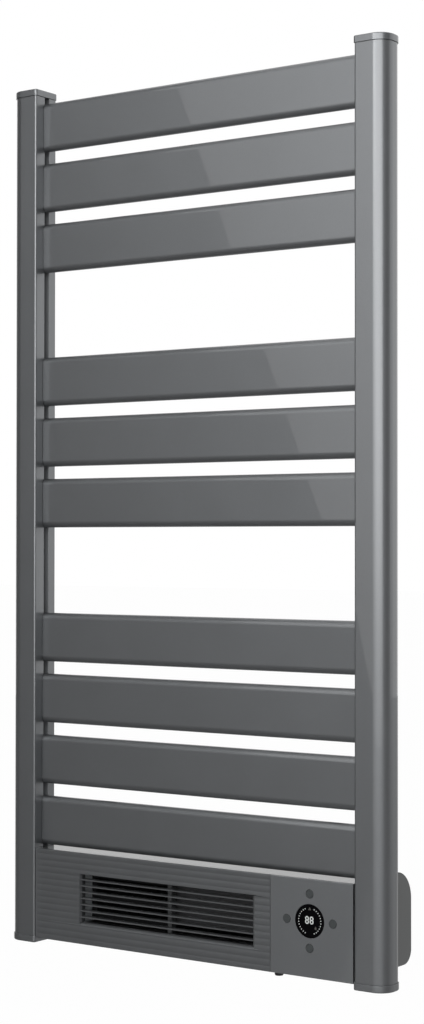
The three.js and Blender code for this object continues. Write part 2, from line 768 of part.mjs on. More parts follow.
function makeGrille() {
  const left = outletLeft + seat;
  const right = outletRight - seat;
  const back = grilleFlangeY + grilleFlangeThickness;
  const plate = box([left - grilleFlange, right + grilleFlange], [grilleFlangeY, back],
    [outletBottom - grilleFlange, outletTop + grilleFlange]);
  const low = outletBottom + seat;
  const high = outletTop - seat;
  const hole = box([left + 1, right - 1], [grilleFlangeY - 1, back + 1], [low, high]);
  const cheeks = [[left, left + cheekThickness], [right - cheekThickness, right]].map((xs) =>
    box(xs, [panelFrontY + 1, vaneBackY], [low, high]));
  const t = vaneThickness / 2;
  const vanes = vaneLevels.map((z) => alongX(new THREE.Shape([
    point(panelFrontY, z - t * 0.8), point(vaneBackY, z - t),
    point(vaneBackY, z + t), point(panelFrontY, z + t * 0.8),
  ]), left + seat, right - seat));
  const x = outletCentre + stiffenerShift;
  const middle = [x - stiffenerWidth / 2, x + stiffenerWidth / 2];
  const stiffener = box(middle, [vaneBackY - 0.6, vaneBackY + stiffenerDepth], [low, high]);
  return join(cut(plate, hole), ...cheeks, ...vanes, stiffener);
}

// The duct leads the air out of its left part; a plate closes the rest, down to a slot.
function makeDuct() {
  const frame = (grow, right, from, to) => box([outletLeft - grow, right + grow], [from, to],
    [outletBottom - grow, outletTop + grow]);
  const blankY = Math.max(ductFrontY, vaneBackY + stiffenerDepth) + blankDepth;
  const flange = frame(grilleFlange, outletRight, ductFrontY, ductFrontY + grilleFlangeThickness);
  const recess = frame(ductWall, outletRight, ductFrontY, blankY + ductWall);
  const sleeve = frame(ductWall, blownRight, ductFrontY, ductBackY);
  const bore = frame(0, blownRight, ductFrontY - 1, ductBackY + 1);
  const pocket = frame(0, outletRight, ductFrontY - 1, blankY);
  const slot = box([blownRight + ductWall, outletRight], [blankY - 1, blankY + ductWall + 1],
    [outletBottom, outletBottom + blankBottom]);
  return cut(join(flange, recess, sleeve), bore, pocket, slot);
}

add("outlet_grille", "moulding", makeGrille());
add("outlet_duct", "darkPlastic", makeDuct());

// ---------------------------------------------------------------- heating element

function makeElement() {
  const [left, right] = [outletLeft, blownRight];
  const rows = 2;
  const finHeight = (outletHeight - 3 * elementBar) / rows;
  const depth = [elementFrontY, elementBackY];
  const bars = [0, 1, 2].map((i) => {
    const z = outletBottom + i * (elementBar + finHeight);
    return box([left, right], depth, [z, z + elementBar]);
  });
  const ends = [[left, left + elementEnd], [right - elementEnd, right]].map((xs) =>
    box(xs, [depth[0] + 1, depth[1] - 1], [outletBottom + 0.5, outletTop - 0.5]));
  const folds = Math.floor((blownWidth - 2 * elementEnd) / finPitch);
  const span = folds * finPitch;
  const start = blownCentre - span / 2;
  const packs = [0, 1].map((row) => {
    const low = outletBottom + elementBar + row * (elementBar + finHeight) - 0.5;
    const high = low + finHeight + 1;
    const upper = [];
    const lower = [];
    for (let i = 0; i <= folds; i += 1) {
      const x = start + i * finPitch;
      const top = i % 2 === 0;
      upper.push(point(x, (top ? high : low + finThickness)));
      lower.unshift(point(x, (top ? high - finThickness : low)));
    }
    return alongY(new THREE.Shape([...upper, ...lower]), depth[0] + 1.5, depth[1] - 1.5);
  });
  return join(...bars, ...ends, ...packs);
}

function makeCutout() {
  const x = blownRight - cutoutInset;
  const z = outletTop + seat;
  const y = (elementFrontY + elementBackY) / 2;
  const [r, h] = [cutoutRadius, cutoutHeight];
  return turned([[0, z], [r, z], [r, z + h - 1.5], [r - 1.5, z + h], [0, z + h]], 16, Z).translate(x, y, 0);
}

add("heating_element", "aluminium", makeElement());
add("thermal_cutout", "steel", makeCutout());

// ---------------------------------------------------------------- blower

// One forward-curved blade, drawn round the rotor's axis.
function bladeShape(angle) {
  const turn = (p) => p.clone().rotateAround(point(0, 0), angle).add(point(rotorY, rotorZ));
  const reach = (rotorRadius - rotorBore) / 2;
  const mid = (rotorRadius + rotorBore) / 2;
  const curve = (grow) => arc(mid, reach * 0.9, reach * 1.25 + grow, ...bladeBow, 3);
  const outline = [...curve(bladeThickness / 2), ...curve(-bladeThickness / 2).reverse()];
  return new THREE.Shape(outline.map(turn));
}

function makeRotor() {
  const discs = [rotorLeft, blownCentre - rotorDisc / 2, rotorRight - rotorDisc].map((x, i) => {
    const ring = new THREE.Shape();
    ring.absarc(rotorY, rotorZ, rotorRadius, 0, Math.PI * 2);
    const hole = new THREE.Path();
    hole.absarc(rotorY, rotorZ, i === 1 ? rotorBore - 3 : shaftRadius + seat, 0, Math.PI * 2, true);
    ring.holes.push(hole);
    return alongX(ring, x, x + rotorDisc, 12);
  });
  const hub = (from, to) => {
    const ring = new THREE.Shape();
    ring.absarc(rotorY, rotorZ, hubRadius, 0, Math.PI * 2);
    const hole = new THREE.Path();
    hole.absarc(rotorY, rotorZ, shaftRadius + seat, 0, Math.PI * 2, true);
    ring.holes.push(hole);
    return alongX(ring, from, to, 6);
  };
  const hubs = [
    hub(rotorLeft + rotorDisc - 0.5, rotorLeft + rotorDisc + hubLength),
    hub(rotorRight - rotorDisc - hubLength, rotorRight - rotorDisc + 0.5),
  ];
  const blades = Array.from({ length: bladeCount }, (_, i) => alongX(
    bladeShape((i * 2 * Math.PI) / bladeCount),
    rotorLeft + rotorDisc - bladeOverlap, rotorRight - rotorDisc + bladeOverlap));
  return join(...discs, ...hubs, ...blades);
}

const leftPlateX = rotorLeft - endPlateGap - endPlateThickness;
const rightPlateX = rotorRight + endPlateGap;
const motorLeft = rightPlateX + endPlateThickness + seat;
const bushLeft = leftPlateX + endPlateThickness + endPlateGap / 2 - bushLength;

// The shaft runs through the rotor, from the bush on the left into the motor on the right.
function makeShaft() {
  return rod(shaftRadius, bushLeft - 3, motorLeft + motorLength + 5, X, [0, rotorY, rotorZ], 12);
}

// Scroll: a growing arc round the back and top of the rotor, the tongue below the outlet,
// and the two end plates that carry the bush and the motor.
function makeScroll() {
  const steps = 14;
  const [from, to] = scrollArc;
  const radius = (k) => rotorRadius + scrollGap + scrollGrowth * k;
  const guide = (grow) => Array.from({ length: steps + 1 }, (_, i) => {
    const angle = THREE.MathUtils.degToRad(from + ((to - from) * i) / steps);
    const r = radius(i / steps) + grow;
    return point(rotorY + r * Math.cos(angle), rotorZ + r * Math.sin(angle));
  });
  const back = elementBackY + seat;
  const roof = [point(back, outletTop + scrollWall), point(back, outletTop)];
  const wrap = new THREE.Shape([...guide(scrollWall), ...roof, ...guide(0).reverse()]);
  const tongue = new THREE.Shape([
    point(back, outletBottom - scrollWall), point(back + 9, outletBottom - scrollWall),
    ...arc(rotorY, rotorZ, rotorRadius + scrollGap, ...tongueArc, 3), point(back, outletBottom + 3),
  ]);
  const [x0, x1] = [leftPlateX, rightPlateX + endPlateThickness];
  const ends = [leftPlateX, rightPlateX].map((x) => {
    const plate = new THREE.Shape([
      point(back, outletBottom - scrollWall), point(back + 9, outletBottom - scrollWall),
      ...arc(rotorY, rotorZ, rotorRadius + scrollGap + scrollWall, tongueArc[0], fullTurn + scrollArc[0], 4),
      ...guide(scrollWall), point(back, outletTop + scrollWall),
    ]);
    const hole = new THREE.Path();
    hole.absarc(rotorY, rotorZ, bushRadius + seat, 0, Math.PI * 2, true);
    plate.holes.push(hole);
    return alongX(plate, x, x + endPlateThickness, 8);
  });
  const roofUnder = moduleTop - casingWall - seat;
  const hangers = [leftPlateX, rightPlateX].map((x) => box([x, x + endPlateThickness],
    [rotorY - hangerWidth / 2, rotorY + hangerWidth / 2], [rotorZ + rotorRadius, roofUnder]));
  return join(alongX(wrap, x0 + 0.5, x1 - 0.5), alongX(tongue, x0 + 0.5, x1 - 0.5), ...ends, ...hangers);
}

function makeBush() {
  const [r, bore] = [bushRadius, shaftRadius + shaftPlay];
  const [a, b] = [bushLeft, bushLeft + bushLength];
  const profile = [
    [bore, a], [r + 2, a], [r + 2, leftPlateX - seat], [r, leftPlateX - seat], [r, b], [bore, b], [bore, a],
  ];
  return turned(profile, 16, X).translate(0, rotorY, rotorZ);
}

function makeMotor() {
  const [a, b] = [motorLeft, motorLeft + motorLength];
  const bore = shaftRadius + shaftPlay;
  const boss = bushRadius - 1;
  const profile = [
    [bore, a - endPlateThickness], [boss, a - endPlateThickness], [boss, a],
    [motorRadius + 3, a], [motorRadius + 3, a + motorFlange], [motorRadius, a + motorFlange],
    [motorRadius, b - 3], [motorRadius - 3, b], [boss, b], [boss, b + 3], [bore, b + 3],
    [bore, a - endPlateThickness],
  ];
  return turned(profile, 20, X).translate(0, rotorY, rotorZ);
}

add("blower_rotor", "darkPlastic", makeRotor());
add("rotor_shaft", "steel", makeShaft());
add("blower_scroll", "darkPlastic", makeScroll());
add("bearing_bush", "rubber", makeBush());
add("fan_motor", "steel", makeMotor());

// ---------------------------------------------------------------- intake filter

function makeFilter() {
  const left = moduleLeft - filterGrip;
  const right = blownRight;
  const [z0, z1] = [filterBottom, filterTop];
  const tray = box([moduleLeft - 1, right], [filterFrontY, filterBackY], [z0, z1]);
  const window = box([outletLeft, right - filterRim],
    [filterFrontY + filterRim, filterBackY - filterRim], [z0 - 1, z1 + 1]);
  const grip = box([left, moduleLeft - seat], [filterFrontY - 2, filterBackY + 2],
    [z0 - 0.4, z1 + 2.5]);
  const length = right - filterRim - outletLeft;
  const ribs = Array.from({ length: filterRibs }, (_, i) => {
    const x = outletLeft + (length * (i + 1)) / (filterRibs + 1) - filterRib / 2;
    return box([x, x + filterRib], [filterFrontY + 1, filterBackY - 1], [z0 + 1, z1 - 1]);
  });
  const middle = (filterFrontY + filterBackY) / 2;
  const spine = box([outletLeft - 1, right - 1], [middle - 0.7, middle + 0.7], [z0 + 1.2, z1 - 1.2]);
  return join(cut(tray, window), grip, ...ribs, spine);
}

add("intake_filter", "mesh", makeFilter());

// ---------------------------------------------------------------- display, keys and boards

function makeDisplay() {
  const front = panelFrontY + 0.4;
  const back = panelBackY + seat;
  const r = displayRadius;
  const profile = [
    [0, front], [r, front], [r, back], [r + displayFlange, back],
    [r + displayFlange, back + displayThickness], [0, back + displayThickness],
  ];
  return turned(profile, 32, Y).translate(displayCentreX, 0, displayCentreZ);
}

const switchFrontY = boardFrontY - switchHeight;
const keyFlangeY = panelBackY + seat;
const stemEndY = switchFrontY - keyTravel - 0.1;

function makeKey(x, z) {
  const front = panelFrontY - keyProud;
  const [r, wide] = [keyRadius, keyRadius + keyFlange];
  const profile = [
    [0, front], [r - 0.4, front], [r, front + 0.4], [r, keyFlangeY], [wide, keyFlangeY],
    [wide, keyFlangeY + keyFlangeThickness], [keyStem, keyFlangeY + keyFlangeThickness],
    [keyStem, stemEndY], [0, stemEndY],
  ];
  return turned(profile, 16, Y).translate(x, 0, z);
}

function makeDisplayBoard() {
  const board = box([displayCentreX - boardWidth / 2, displayCentreX + boardWidth / 2],
    [boardFrontY, boardFrontY + boardThickness],
    [displayCentreZ - boardHeight / 2, displayCentreZ + boardHeight / 2]);
  const h = switchSize / 2;
  const switches = keyPlaces.map(([, x, z]) => box([x - h, x + h],
    [switchFrontY, boardFrontY + 0.5], [z - h, z + h]));
  const moduleFront = panelBackY + seat + displayThickness + seat;
  const lamp = rod(displayRadius - 2, moduleFront, boardFrontY + 0.5, Y,
    [displayCentreX, 0, displayCentreZ], 20);
  return join(board, lamp, ...switches);
}

function makePowerBoard() {
  const x = moduleRight - powerBoardInset;
  const [y0, y1] = [-powerBoardBack - powerBoardLength, -powerBoardBack];
  const z0 = floorZ + seat;
  const board = box([x, x + boardThickness], [y0, y1], [z0, z0 + powerBoardHeight]);
  const low = z0 + partsMargin;
  const bedded = 0.5;
  const block = ([out, along, up], y, z) => box([x - out, x + bedded], [y, y + along], [z, z + up]);
  const rear = y0 + partsGap + relaySize[1] + partsGap;
  const parts = [
    block(relaySize, y0 + partsGap, low),
    block(relaySize, y0 + partsGap, low + relayPitch),
    block(transformerSize, rear, low),
    ...capacitorSizes.map(([radius, height], i) => rod(radius, -height, bedded, X,
      [x, rear + radius + i * (radius + partsGap), low + transformerSize[2] + 2 * partsGap], 12)),
  ];
  return join(board, ...parts);
}

function makeTerminalBlock() {
  const x = panelSplit + 6;
  const y = casingFrontY + rimDepth + 12;
  const z = floorZ + seat;
  const block = box([x, x + terminalLength], [y, y + terminalDepth], [z, z + terminalHeight]);
  const ways = [0, 1, 2].map((i) => {
    const cx = x + (terminalLength * (i + 0.5)) / 3;
    return rod(2.4, z + 8, z + terminalHeight + 1, Z, [cx, y + terminalDepth / 2, 0], 8);
  });
  return cut(block, ...ways);
}

add("display_window", "black", makeDisplay());
keyPlaces.forEach(([word, x, z]) => add(`${word}_key`, "darkPlastic", makeKey(x, z)));
add("display_board", "board", makeDisplayBoard());
add("power_board", "board", makePowerBoard());
add("terminal_block", "darkPlastic", makeTerminalBlock());

// ---------------------------------------------------------------- grommet and room sensor

function makeGrommet() {
  const [r, tip, bore, wide] = [grommetRadius, grommetTip, grommetBore, grommetFlange];
  const end = casingBottom - grommetLength;
  const profile = [
    [bore, end], [tip, end], [r, casingBottom - 2.4], [wide, casingBottom - 2],
    [wide, casingBottom - seat], [r, casingBottom - seat], [r, floorZ + seat],
    [wide, floorZ + seat], [r, floorZ + 5], [bore, floorZ + 5], [bore, end],
  ];
  return turned(profile, 16, Z).translate(moduleRight - grommetX, casingFrontY + grommetSetback, 0);
}

function makeSensor() {
  const r = sensorRadius;
  const end = casingBottom - sensorLength;
  const profile = [
    [0, end], [r * 0.7, end + 0.5], [r, end + 1.6], [r, floorZ + 3], [r + 1.4, floorZ + 3],
    [r + 1.4, floorZ + 5], [0, floorZ + 5],
  ];
  return turned(profile, 12, Z).translate(moduleRight - sensorX, casingFrontY + sensorSetback, 0);
}

add("lead_grommet", "rubber", makeGrommet());
add("room_sensor", "darkPlastic", makeSensor());

export default model;
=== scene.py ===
"""Looks of a wall-hung towel rail with a fan heater, built around its CAD frame.

Metres, +Z up. The wall is the plane y = 0 and the front faces -Y.
"""

import json
import math

import bmesh
import bpy
from bpy.props import FloatProperty, FloatVectorProperty, IntProperty, PointerProperty
from bpy.types import Operator, Panel, PropertyGroup
from mathutils import Matrix, Quaternion, Vector


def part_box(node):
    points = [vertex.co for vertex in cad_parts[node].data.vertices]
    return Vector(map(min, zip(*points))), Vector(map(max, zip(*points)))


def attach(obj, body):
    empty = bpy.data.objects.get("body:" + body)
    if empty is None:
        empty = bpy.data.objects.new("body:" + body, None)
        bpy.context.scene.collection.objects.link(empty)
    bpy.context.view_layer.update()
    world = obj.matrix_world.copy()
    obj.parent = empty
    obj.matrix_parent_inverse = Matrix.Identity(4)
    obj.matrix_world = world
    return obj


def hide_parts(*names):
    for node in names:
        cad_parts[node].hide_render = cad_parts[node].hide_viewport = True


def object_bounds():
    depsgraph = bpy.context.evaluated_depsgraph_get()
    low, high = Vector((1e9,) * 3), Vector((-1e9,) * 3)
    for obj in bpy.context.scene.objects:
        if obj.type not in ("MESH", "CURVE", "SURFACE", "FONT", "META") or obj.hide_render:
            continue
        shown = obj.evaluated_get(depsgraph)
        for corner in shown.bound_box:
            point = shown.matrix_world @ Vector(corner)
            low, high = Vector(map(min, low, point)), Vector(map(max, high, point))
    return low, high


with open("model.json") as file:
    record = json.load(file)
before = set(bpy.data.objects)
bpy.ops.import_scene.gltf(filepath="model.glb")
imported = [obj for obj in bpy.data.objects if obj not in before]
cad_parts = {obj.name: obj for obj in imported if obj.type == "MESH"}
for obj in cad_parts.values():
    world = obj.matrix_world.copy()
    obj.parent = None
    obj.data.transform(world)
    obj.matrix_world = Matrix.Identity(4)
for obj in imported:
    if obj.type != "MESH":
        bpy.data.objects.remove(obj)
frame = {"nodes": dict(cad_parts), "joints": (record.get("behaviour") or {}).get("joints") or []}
CAD_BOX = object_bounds()

bl_info = {
    "name": "Towel rail with fan heater",
    "version": (1, 0, 0),
    "blender": (4, 5, 0),
    "location": "3D View > Sidebar > Towel Rail",
    "description": "Builds the finish and the fine detail of a towel rail with a fan heater",
    "category": "Add Mesh",
}

MM = 0.001
SIDES = (("left", -1), ("right", 1))
SLATS = [f"slat_{number:02d}" for number in range(1, 11)]
BRACKETS = [f"{row}_{side}" for row in ("upper", "lower") for side in ("left", "right")]
KEYS = ("power", "mode", "minus", "plus")
LOOKS = {}


# ---------------------------------------------------------------- sizes and colours

def title(field):
    """A field's name for the panel."""
    return field.replace("_", " ").capitalize()


def lengths(**fields):
    """Lengths in metres, each from its millimetres, a description and perhaps its limits."""
    made = {}
    for field, (size, description, *limits) in fields.items():
        low, high = limits or (0, 1000)
        made[field] = FloatProperty(name=title(field), description=description,
                                    default=size * MM, min=low * MM, max=high * MM,
                                    precision=5, unit="LENGTH", subtype="DISTANCE")
    return made


def counts(**fields):
    """Whole numbers, each from its default, its limits and a description."""
    return {field: IntProperty(name=title(field), description=description,
                               default=value, min=low, max=high)
            for field, (value, low, high, description) in fields.items()}


def colours(**fields):
    """Colours with no alpha, each from its default and a description."""
    return {field: FloatVectorProperty(name=title(field), description=description,
                                       default=value, min=0, max=1, subtype="COLOR")
            for field, (value, description) in fields.items()}


def shares(**fields):
    """Numbers from 0 to 1 or to a top, each from its default, a description and that top."""
    return {field: FloatProperty(name=title(field), description=description, default=value,
                                 min=0, max=top[0] if top else 1,
                                 subtype="NONE" if top else "FACTOR")
            for field, (value, description, *top) in fields.items()}


class RailSizes(PropertyGroup):
    """Sizes of the posts, slats and brackets that the frame's boxes don't give"""

    __annotations__ = lengths(
        post_corner=(16, "Radius of a post's two outer corners"),
        post_edge=(2, "Radius of a post's two inner corners"),
        channel_reach=(12.5, "Depth of the channel in a post"),
        channel_play=(0.4, "Gap on each side of a slat's end in the channel"),
        channel_lining=(0.2, "Thickness of the matt lining in the channel"),
        channel_lip=(0.4, "Rounding of the channel's two lips"),
        cap_round=(1.4, "Rounding of a cap's outer edge"),
        cap_lip=(1, "How far a cap stands out over its post"),
        slat_edge=(5.2, "Rounding of a slat's long edges, from front to back"),
        slat_fall=(7.2, "Height of that rounding"),
        end_step=(3.2, "Milled off a slat's front where it enters a post"),
        arm_radius=(10, "Radius of a bracket arm's straight part"),
        arm_taper=(34, "Length over which an arm widens to its foot"),
        saddle_thickness=(4, "Thickness of an arm's plate behind the slat"),
        saddle_corner=(6, "Corner radius of that plate"),
        saddle_spread=(33, "Distance between the two screws of a saddle"),
        rosette_thickness=(4, "Thickness of a wall rosette's rim"),
        stub_radius=(8, "Radius of the rosette's stub inside the arm"),
        wall_screw=(5.4, "Diameter of the hole for the wall screw"),
        clamp_head=(7.6, "Head diameter of the screws behind the posts"),
        clamp_height=(2.3, "Head height of the screws behind the posts"),
        clamp_inset=(5.4, "Post's inner face to those screws"),
        grub_position=(14, "Wall to the grub screw under an arm's foot"),
    )


class HeaterSizes(PropertyGroup):
    """Sizes of the fan heater that the frame's boxes don't give"""

    __annotations__ = lengths(
        wall=(2.4, "Thickness of the casing's wall"),
        top_radius=(32, "Radius of the casing's upper rear corner"),
        bottom_radius=(15, "Radius of the casing's lower rear corner"),
        tongue_height=(72, "Height of the casing's side tongues"),
        panel_thickness=(3, "Thickness of the two front panels"),
        panel_edge=(0.8, "Rounding of the front panels' long edges"),
        panel_rim=(1.8, "Thickness of the rims behind the front panels"),
        reed_pitch=(7, "Pitch of the reeds and of the outlet's vanes"),
        reed_depth=(0.22, "Depth of the grooves between reeds, filled by the paint"),
        sill=(2.4, "Chamfer below the outlet"),
        seat=(0.3, "Gap between pieces that rest on each other"),
        outlet_inset=(62.1, "Heater's left end to the outlet"),
        outlet_width=(236.4, "Width of the outlet"),
        outlet_height=(54.6, "Height of the outlet"),
        outlet_middle=(0.3, "Height of the outlet's middle", -50, 1000),
        vane_thickness=(1.8, "Thickness of a vane"),
        vane_depth=(8, "Depth of a vane"),
        stiffener_width=(5, "Width of the bar behind the vanes"),
        stiffener_shift=(2, "Outlet's middle to that bar"),
        stiffener_depth=(7, "Depth of the bar behind the vanes"),
        flange_thickness=(1.6, "Thickness of the grille's flange"),
        cheek=(1.4, "Thickness of the grille's two ends"),
        intake_slot=(5, "Width of a slot in the casing's floor"),
        intake_bar=(5, "Bar between two slots"),
        intake_back=(18, "Wall to the rearmost slot"),
        blown_width=(117, "Part of the outlet that the air comes from"),
        display_radius=(17.6, "Radius of the round display"),
        display_play=(0.25, "Gap round the display"),
        key_radius=(4.5, "Radius of a key"),
        key_play=(0.25, "Gap round a key"),
        board_standoff=(7.7, "Control panel's back to its board"),
        screw_inset=(22, "A panel's end to the screws under it"),
        screw_back=(4.6, "Casing's front edge to those screws"),
    ) | counts(
        slots=(8, 2, 20, "Slots between the outlet's vanes"),
        intake_rows=(5, 1, 12, "Rows of slots in the casing's floor"),
        intake_columns=(2, 1, 8, "Slots in a row"),
    )


class FanSizes(PropertyGroup):
    """Sizes of the blower's rotor"""

    __annotations__ = counts(
        blades=(20, 6, 60, "Blades of the rotor"),
    ) | lengths(
        outer=(25, "Radius over the blades"),
        inner=(17, "Radius at the blades' inner edges"),
        disc=(2, "Thickness of the rotor's discs"),
        blade=(1.2, "Thickness of a blade"),
        bore=(2.8, "Radius of the hole for the shaft"),
        hub=(6, "Radius of the hubs"),
        hub_length=(7, "Length of the hubs"),
    )


class Finishes(PropertyGroup):
    """Colours and gloss"""

    __annotations__ = colours(
        paint=((0.173, 0.180, 0.187), "Anthracite metallic paint of the rail"),
        moulding=((0.098, 0.102, 0.106), "Painted plastic of the heater"),
        casing=((0.090, 0.093, 0.093), "Plain plastic of the casing"),
        dark=((0.012, 0.012, 0.013), "Inner mouldings"),
        key=((0.036, 0.041, 0.042), "Touch keys"),
        key_mark=((0.05, 0.055, 0.057), "Symbols on the keys"),
        glass=((0.0012, 0.0012, 0.0015), "Black display window"),
        lit=((0.86, 0.9, 0.88), "Digits and ticks of the display"),
        lit_icon=((0.86, 0.8, 0.7), "Icons of the display"),
    ) | shares(
        paint_metallic=(0.9, "How metallic the paint looks"),
        paint_roughness=(0.41, "Roughness under the clear coat"),
        paint_coat=(0.9, "Weight of the clear coat"),
        paint_coat_roughness=(0.015, "Roughness of the clear coat"),
        rail_tone=(1.02, "Brightness of the rail beside the paint's colour", 2),
        # The next two are painted shade and painted light: one paint, made darker on the reeded
        # front panel and lighter on the flat control panel.
        front_tone=(0.94, "Brightness of the reeded front panel", 2),
        control_tone=(1.18, "Brightness of the control panel", 2),
        bracket_coat=(0.4, "Weight of the brackets' satin coat"),
        bracket_coat_roughness=(0.35, "Roughness of the brackets' satin coat"),
        cap_end_tone=(0.6, "Brightness of a cap's matt end"),
        vane_tone=(0.7, "Brightness of the outlet's vanes beside the moulding"),
        lining_tone=(1.6, "Brightness of the channels' lining beside the moulding", 10),
        # The duct's next two tones are painted light: its left wall and its blank plate are made
        # paler, as if lit.
        duct_wall_tone=(5.4, "Brightness of the duct's left wall beside the moulding", 10),
        duct_blank_tone=(3, "Brightness of the duct's blank part beside the dark", 10),
        moulding_roughness=(0.3, "Roughness of the heater's plastic"),
        lit_strength=(0.62, "Brightness of the display", 10),
        icon_share=(0.09, "Brightness of the icons beside the digits"),
    )


class Studio(PropertyGroup):
    """Camera, lamps and floor"""

    __annotations__ = {
        "camera_place": FloatVectorProperty(
            name="Camera place", description="Where the camera stands",
            default=(1.2732, -1.8958, 0.4011), subtype="TRANSLATION", unit="LENGTH"),
        "camera_aim": FloatVectorProperty(
            name="Camera aim", description="Direction in which the camera looks",
            default=(-0.57265, 0.81966, 0.01515), subtype="DIRECTION"),
        "camera_roll": FloatProperty(
            name="Camera roll", description="Turn about the camera's own axis",
            default=math.radians(0.054), subtype="ANGLE"),
        "lens": FloatProperty(
            name="Lens", description="Focal length for a 36 mm sensor", default=70.62,
            unit="CAMERA"),
        "key_power": FloatProperty(
            name="Key power", description="Power of the lamp in front", default=24, min=0,
            unit="POWER"),
    } | lengths(
        floor_drop=(700, "Rail's foot to the floor", 0, 5000),
        card_distance=(4000, "The rail to the cards round it", 0, 20000),
    ) | shares(
        ambient=(0.8, "Strength of the light from all round", 5),
        softbox=(4.4, "Brightness of the softbox in gloss, in front and at the right", 20),
        softbox_left=(5.5, "Brightness of its left part", 25),
        left_flag=(0.165, "Brightness of the dark card at the left"),
        right_flag=(0.263, "Brightness of the dark card at the right"),
        low_flag=(0.415, "Brightness of the dark card on the floor"),
    )


SETTINGS = (
    ("rail_sizes", RailSizes),
    ("heater_sizes", HeaterSizes),
    ("fan_sizes", FanSizes),
    ("finishes", Finishes),
    ("studio", Studio),
)


# ---------------------------------------------------------------- outlines

def arc(x, y, radius, start, end, steps):
    """Points on an arc, from one angle to another in degrees."""
    angles = [math.radians(start + (end - start) * step / steps) for step in range(steps + 1)]
    return [(x + radius * math.cos(a), y + radius * math.sin(a)) for a in angles]


def circle(x, y, radius, steps=48):
    """A full circle, with no point twice."""
    return arc(x, y, radius, 0, 360, steps)[:-1]


def rounded(low, high, depth, rise, steps=10):
    """A rectangle whose corners are quarter ellipses, between two corners given as pairs."""
    (x0, y0), (x1, y1) = low, high
    corners = ((x1 - depth, y0 + rise, -90), (x1 - depth, y1 - rise, 0),
               (x0 + depth, y1 - rise, 90), (x0 + depth, y0 + rise, 180))
    return [(x + depth * a, y + rise * b)
            for x, y, start in corners for a, b in arc(0, 0, 1, start, start + 90, steps)]


def bar(x, y, wide, high):
    """A rectangle round its middle."""
    a, b = wide / 2, high / 2
    return [(x - a, y - b), (x + a, y - b), (x + a, y + b), (x - a, y + b)]


def swung(points, angle, x, y):
    """Points turned round the origin by an angle in degrees, then moved to a place."""
    c, s = math.cos(math.radians(angle)), math.sin(math.radians(angle))
    return [(x + a * c - b * s, y + a * s + b * c) for a, b in points]


# ---------------------------------------------------------------- solids

PLANES = {
    "X": lambda a, b, along: Vector((along, a, b)),
    "Y": lambda a, b, along: Vector((a, along, b)),
    "Z": lambda a, b, along: Vector((a, b, along)),
}


def stack(layers):
    """A closed solid through rings of points that all have the same count."""
    solid = bmesh.new()
    rings = [[solid.verts.new(point) for point in layer] for layer in layers]
    for lower, upper in zip(rings, rings[1:]):
        for here, after in zip(range(len(lower)), [*range(1, len(lower)), 0]):
            solid.faces.new((lower[here], lower[after], upper[after], upper[here]))
    solid.faces.new(rings[0])
    solid.faces.new(rings[-1])
    bmesh.ops.recalc_face_normals(solid, faces=solid.faces)
    return solid


def prism(outline, axis, start, end):
    """An outline pushed along an axis. It is drawn in (y, z), (x, z) or (x, y)."""
    place = PLANES[axis]
    return stack([[place(a, b, along) for a, b in outline] for along in (start, end)])


def block(low, high):
    """A box between two corners."""
    (x0, y0, z0), (x1, y1, z1) = low, high
    return prism([(x0, y0), (x1, y0), (x1, y1), (x0, y1)], "Z", z0, z1)


def turned(profile, axis, centre, steps=48):
    """A solid of revolution. The profile is (radius, height) pairs; it starts and ends on the
    axis, or else closes on itself."""
    solid = bmesh.new()
    on_axis = 1e-7
    rings = []
    for radius, height in profile:
        angles = [2 * math.pi * step / steps for step in range(1 if radius < on_axis else steps)]
        rings.append([solid.verts.new(Vector(centre) + PLANES[axis](
            radius * math.cos(angle), radius * math.sin(angle), height)) for angle in angles])
    pairs = list(zip(rings, rings[1:]))
    if max(profile[0][0], profile[-1][0]) >= on_axis:
        pairs.append((rings[-1], rings[0]))
    for lower, upper in pairs:
        for here in range(steps):
            after = (here + 1) % steps
            corners = dict.fromkeys((lower[here % len(lower)], lower[after % len(lower)],
                                     upper[after % len(upper)], upper[here % len(upper)]))
            if len(corners) > 2:
                solid.faces.new(list(corners))
    bmesh.ops.recalc_face_normals(solid, faces=solid.faces)
    return solid


def tube(inner, outer, start, end, axis, centre):
    """A plain tube along an axis."""
    return turned([(inner, start), (outer, start), (outer, end), (inner, end)], axis, centre)


def mesh_of(name, solid):
    """A mesh made from a solid, which is spent."""
    mesh = bpy.data.meshes.new(name)
    solid.to_mesh(mesh)
    solid.free()
    return mesh


def put(name, data):
    """An object in the scene that holds a mesh, a lamp or a camera."""
    made = bpy.data.objects.new(name, data)
    bpy.context.scene.collection.objects.link(made)
    return made


def together(*solids):
    """Several solids in one mesh, each kept closed by itself."""
    total = bmesh.new()
    for solid in solids:
        mesh = mesh_of("part", solid)
        total.from_mesh(mesh)
        bpy.data.meshes.remove(mesh)
    return total


def carve(solid, *others, operation="DIFFERENCE"):
    """Cuts other solids out of a solid, or joins them to it."""
    base, tool = (put("carve", mesh_of("carve", part)) for part in (solid, together(*others)))
    modifier = base.modifiers.new("carve", "BOOLEAN")
    modifier.operation = operation
    modifier.solver = "EXACT"
    modifier.use_self = True
    modifier.object = tool
    bpy.context.view_layer.update()
    carved = bmesh.new()
    carved.from_mesh(base.evaluated_get(bpy.context.evaluated_depsgraph_get()).to_mesh())
    for spent in (base.data, tool.data):
        bpy.data.meshes.remove(spent)
    return carved


def fused(first, *others):
    """Solids that overlap, joined in one closed skin."""
    return carve(first, *others, operation="UNION")


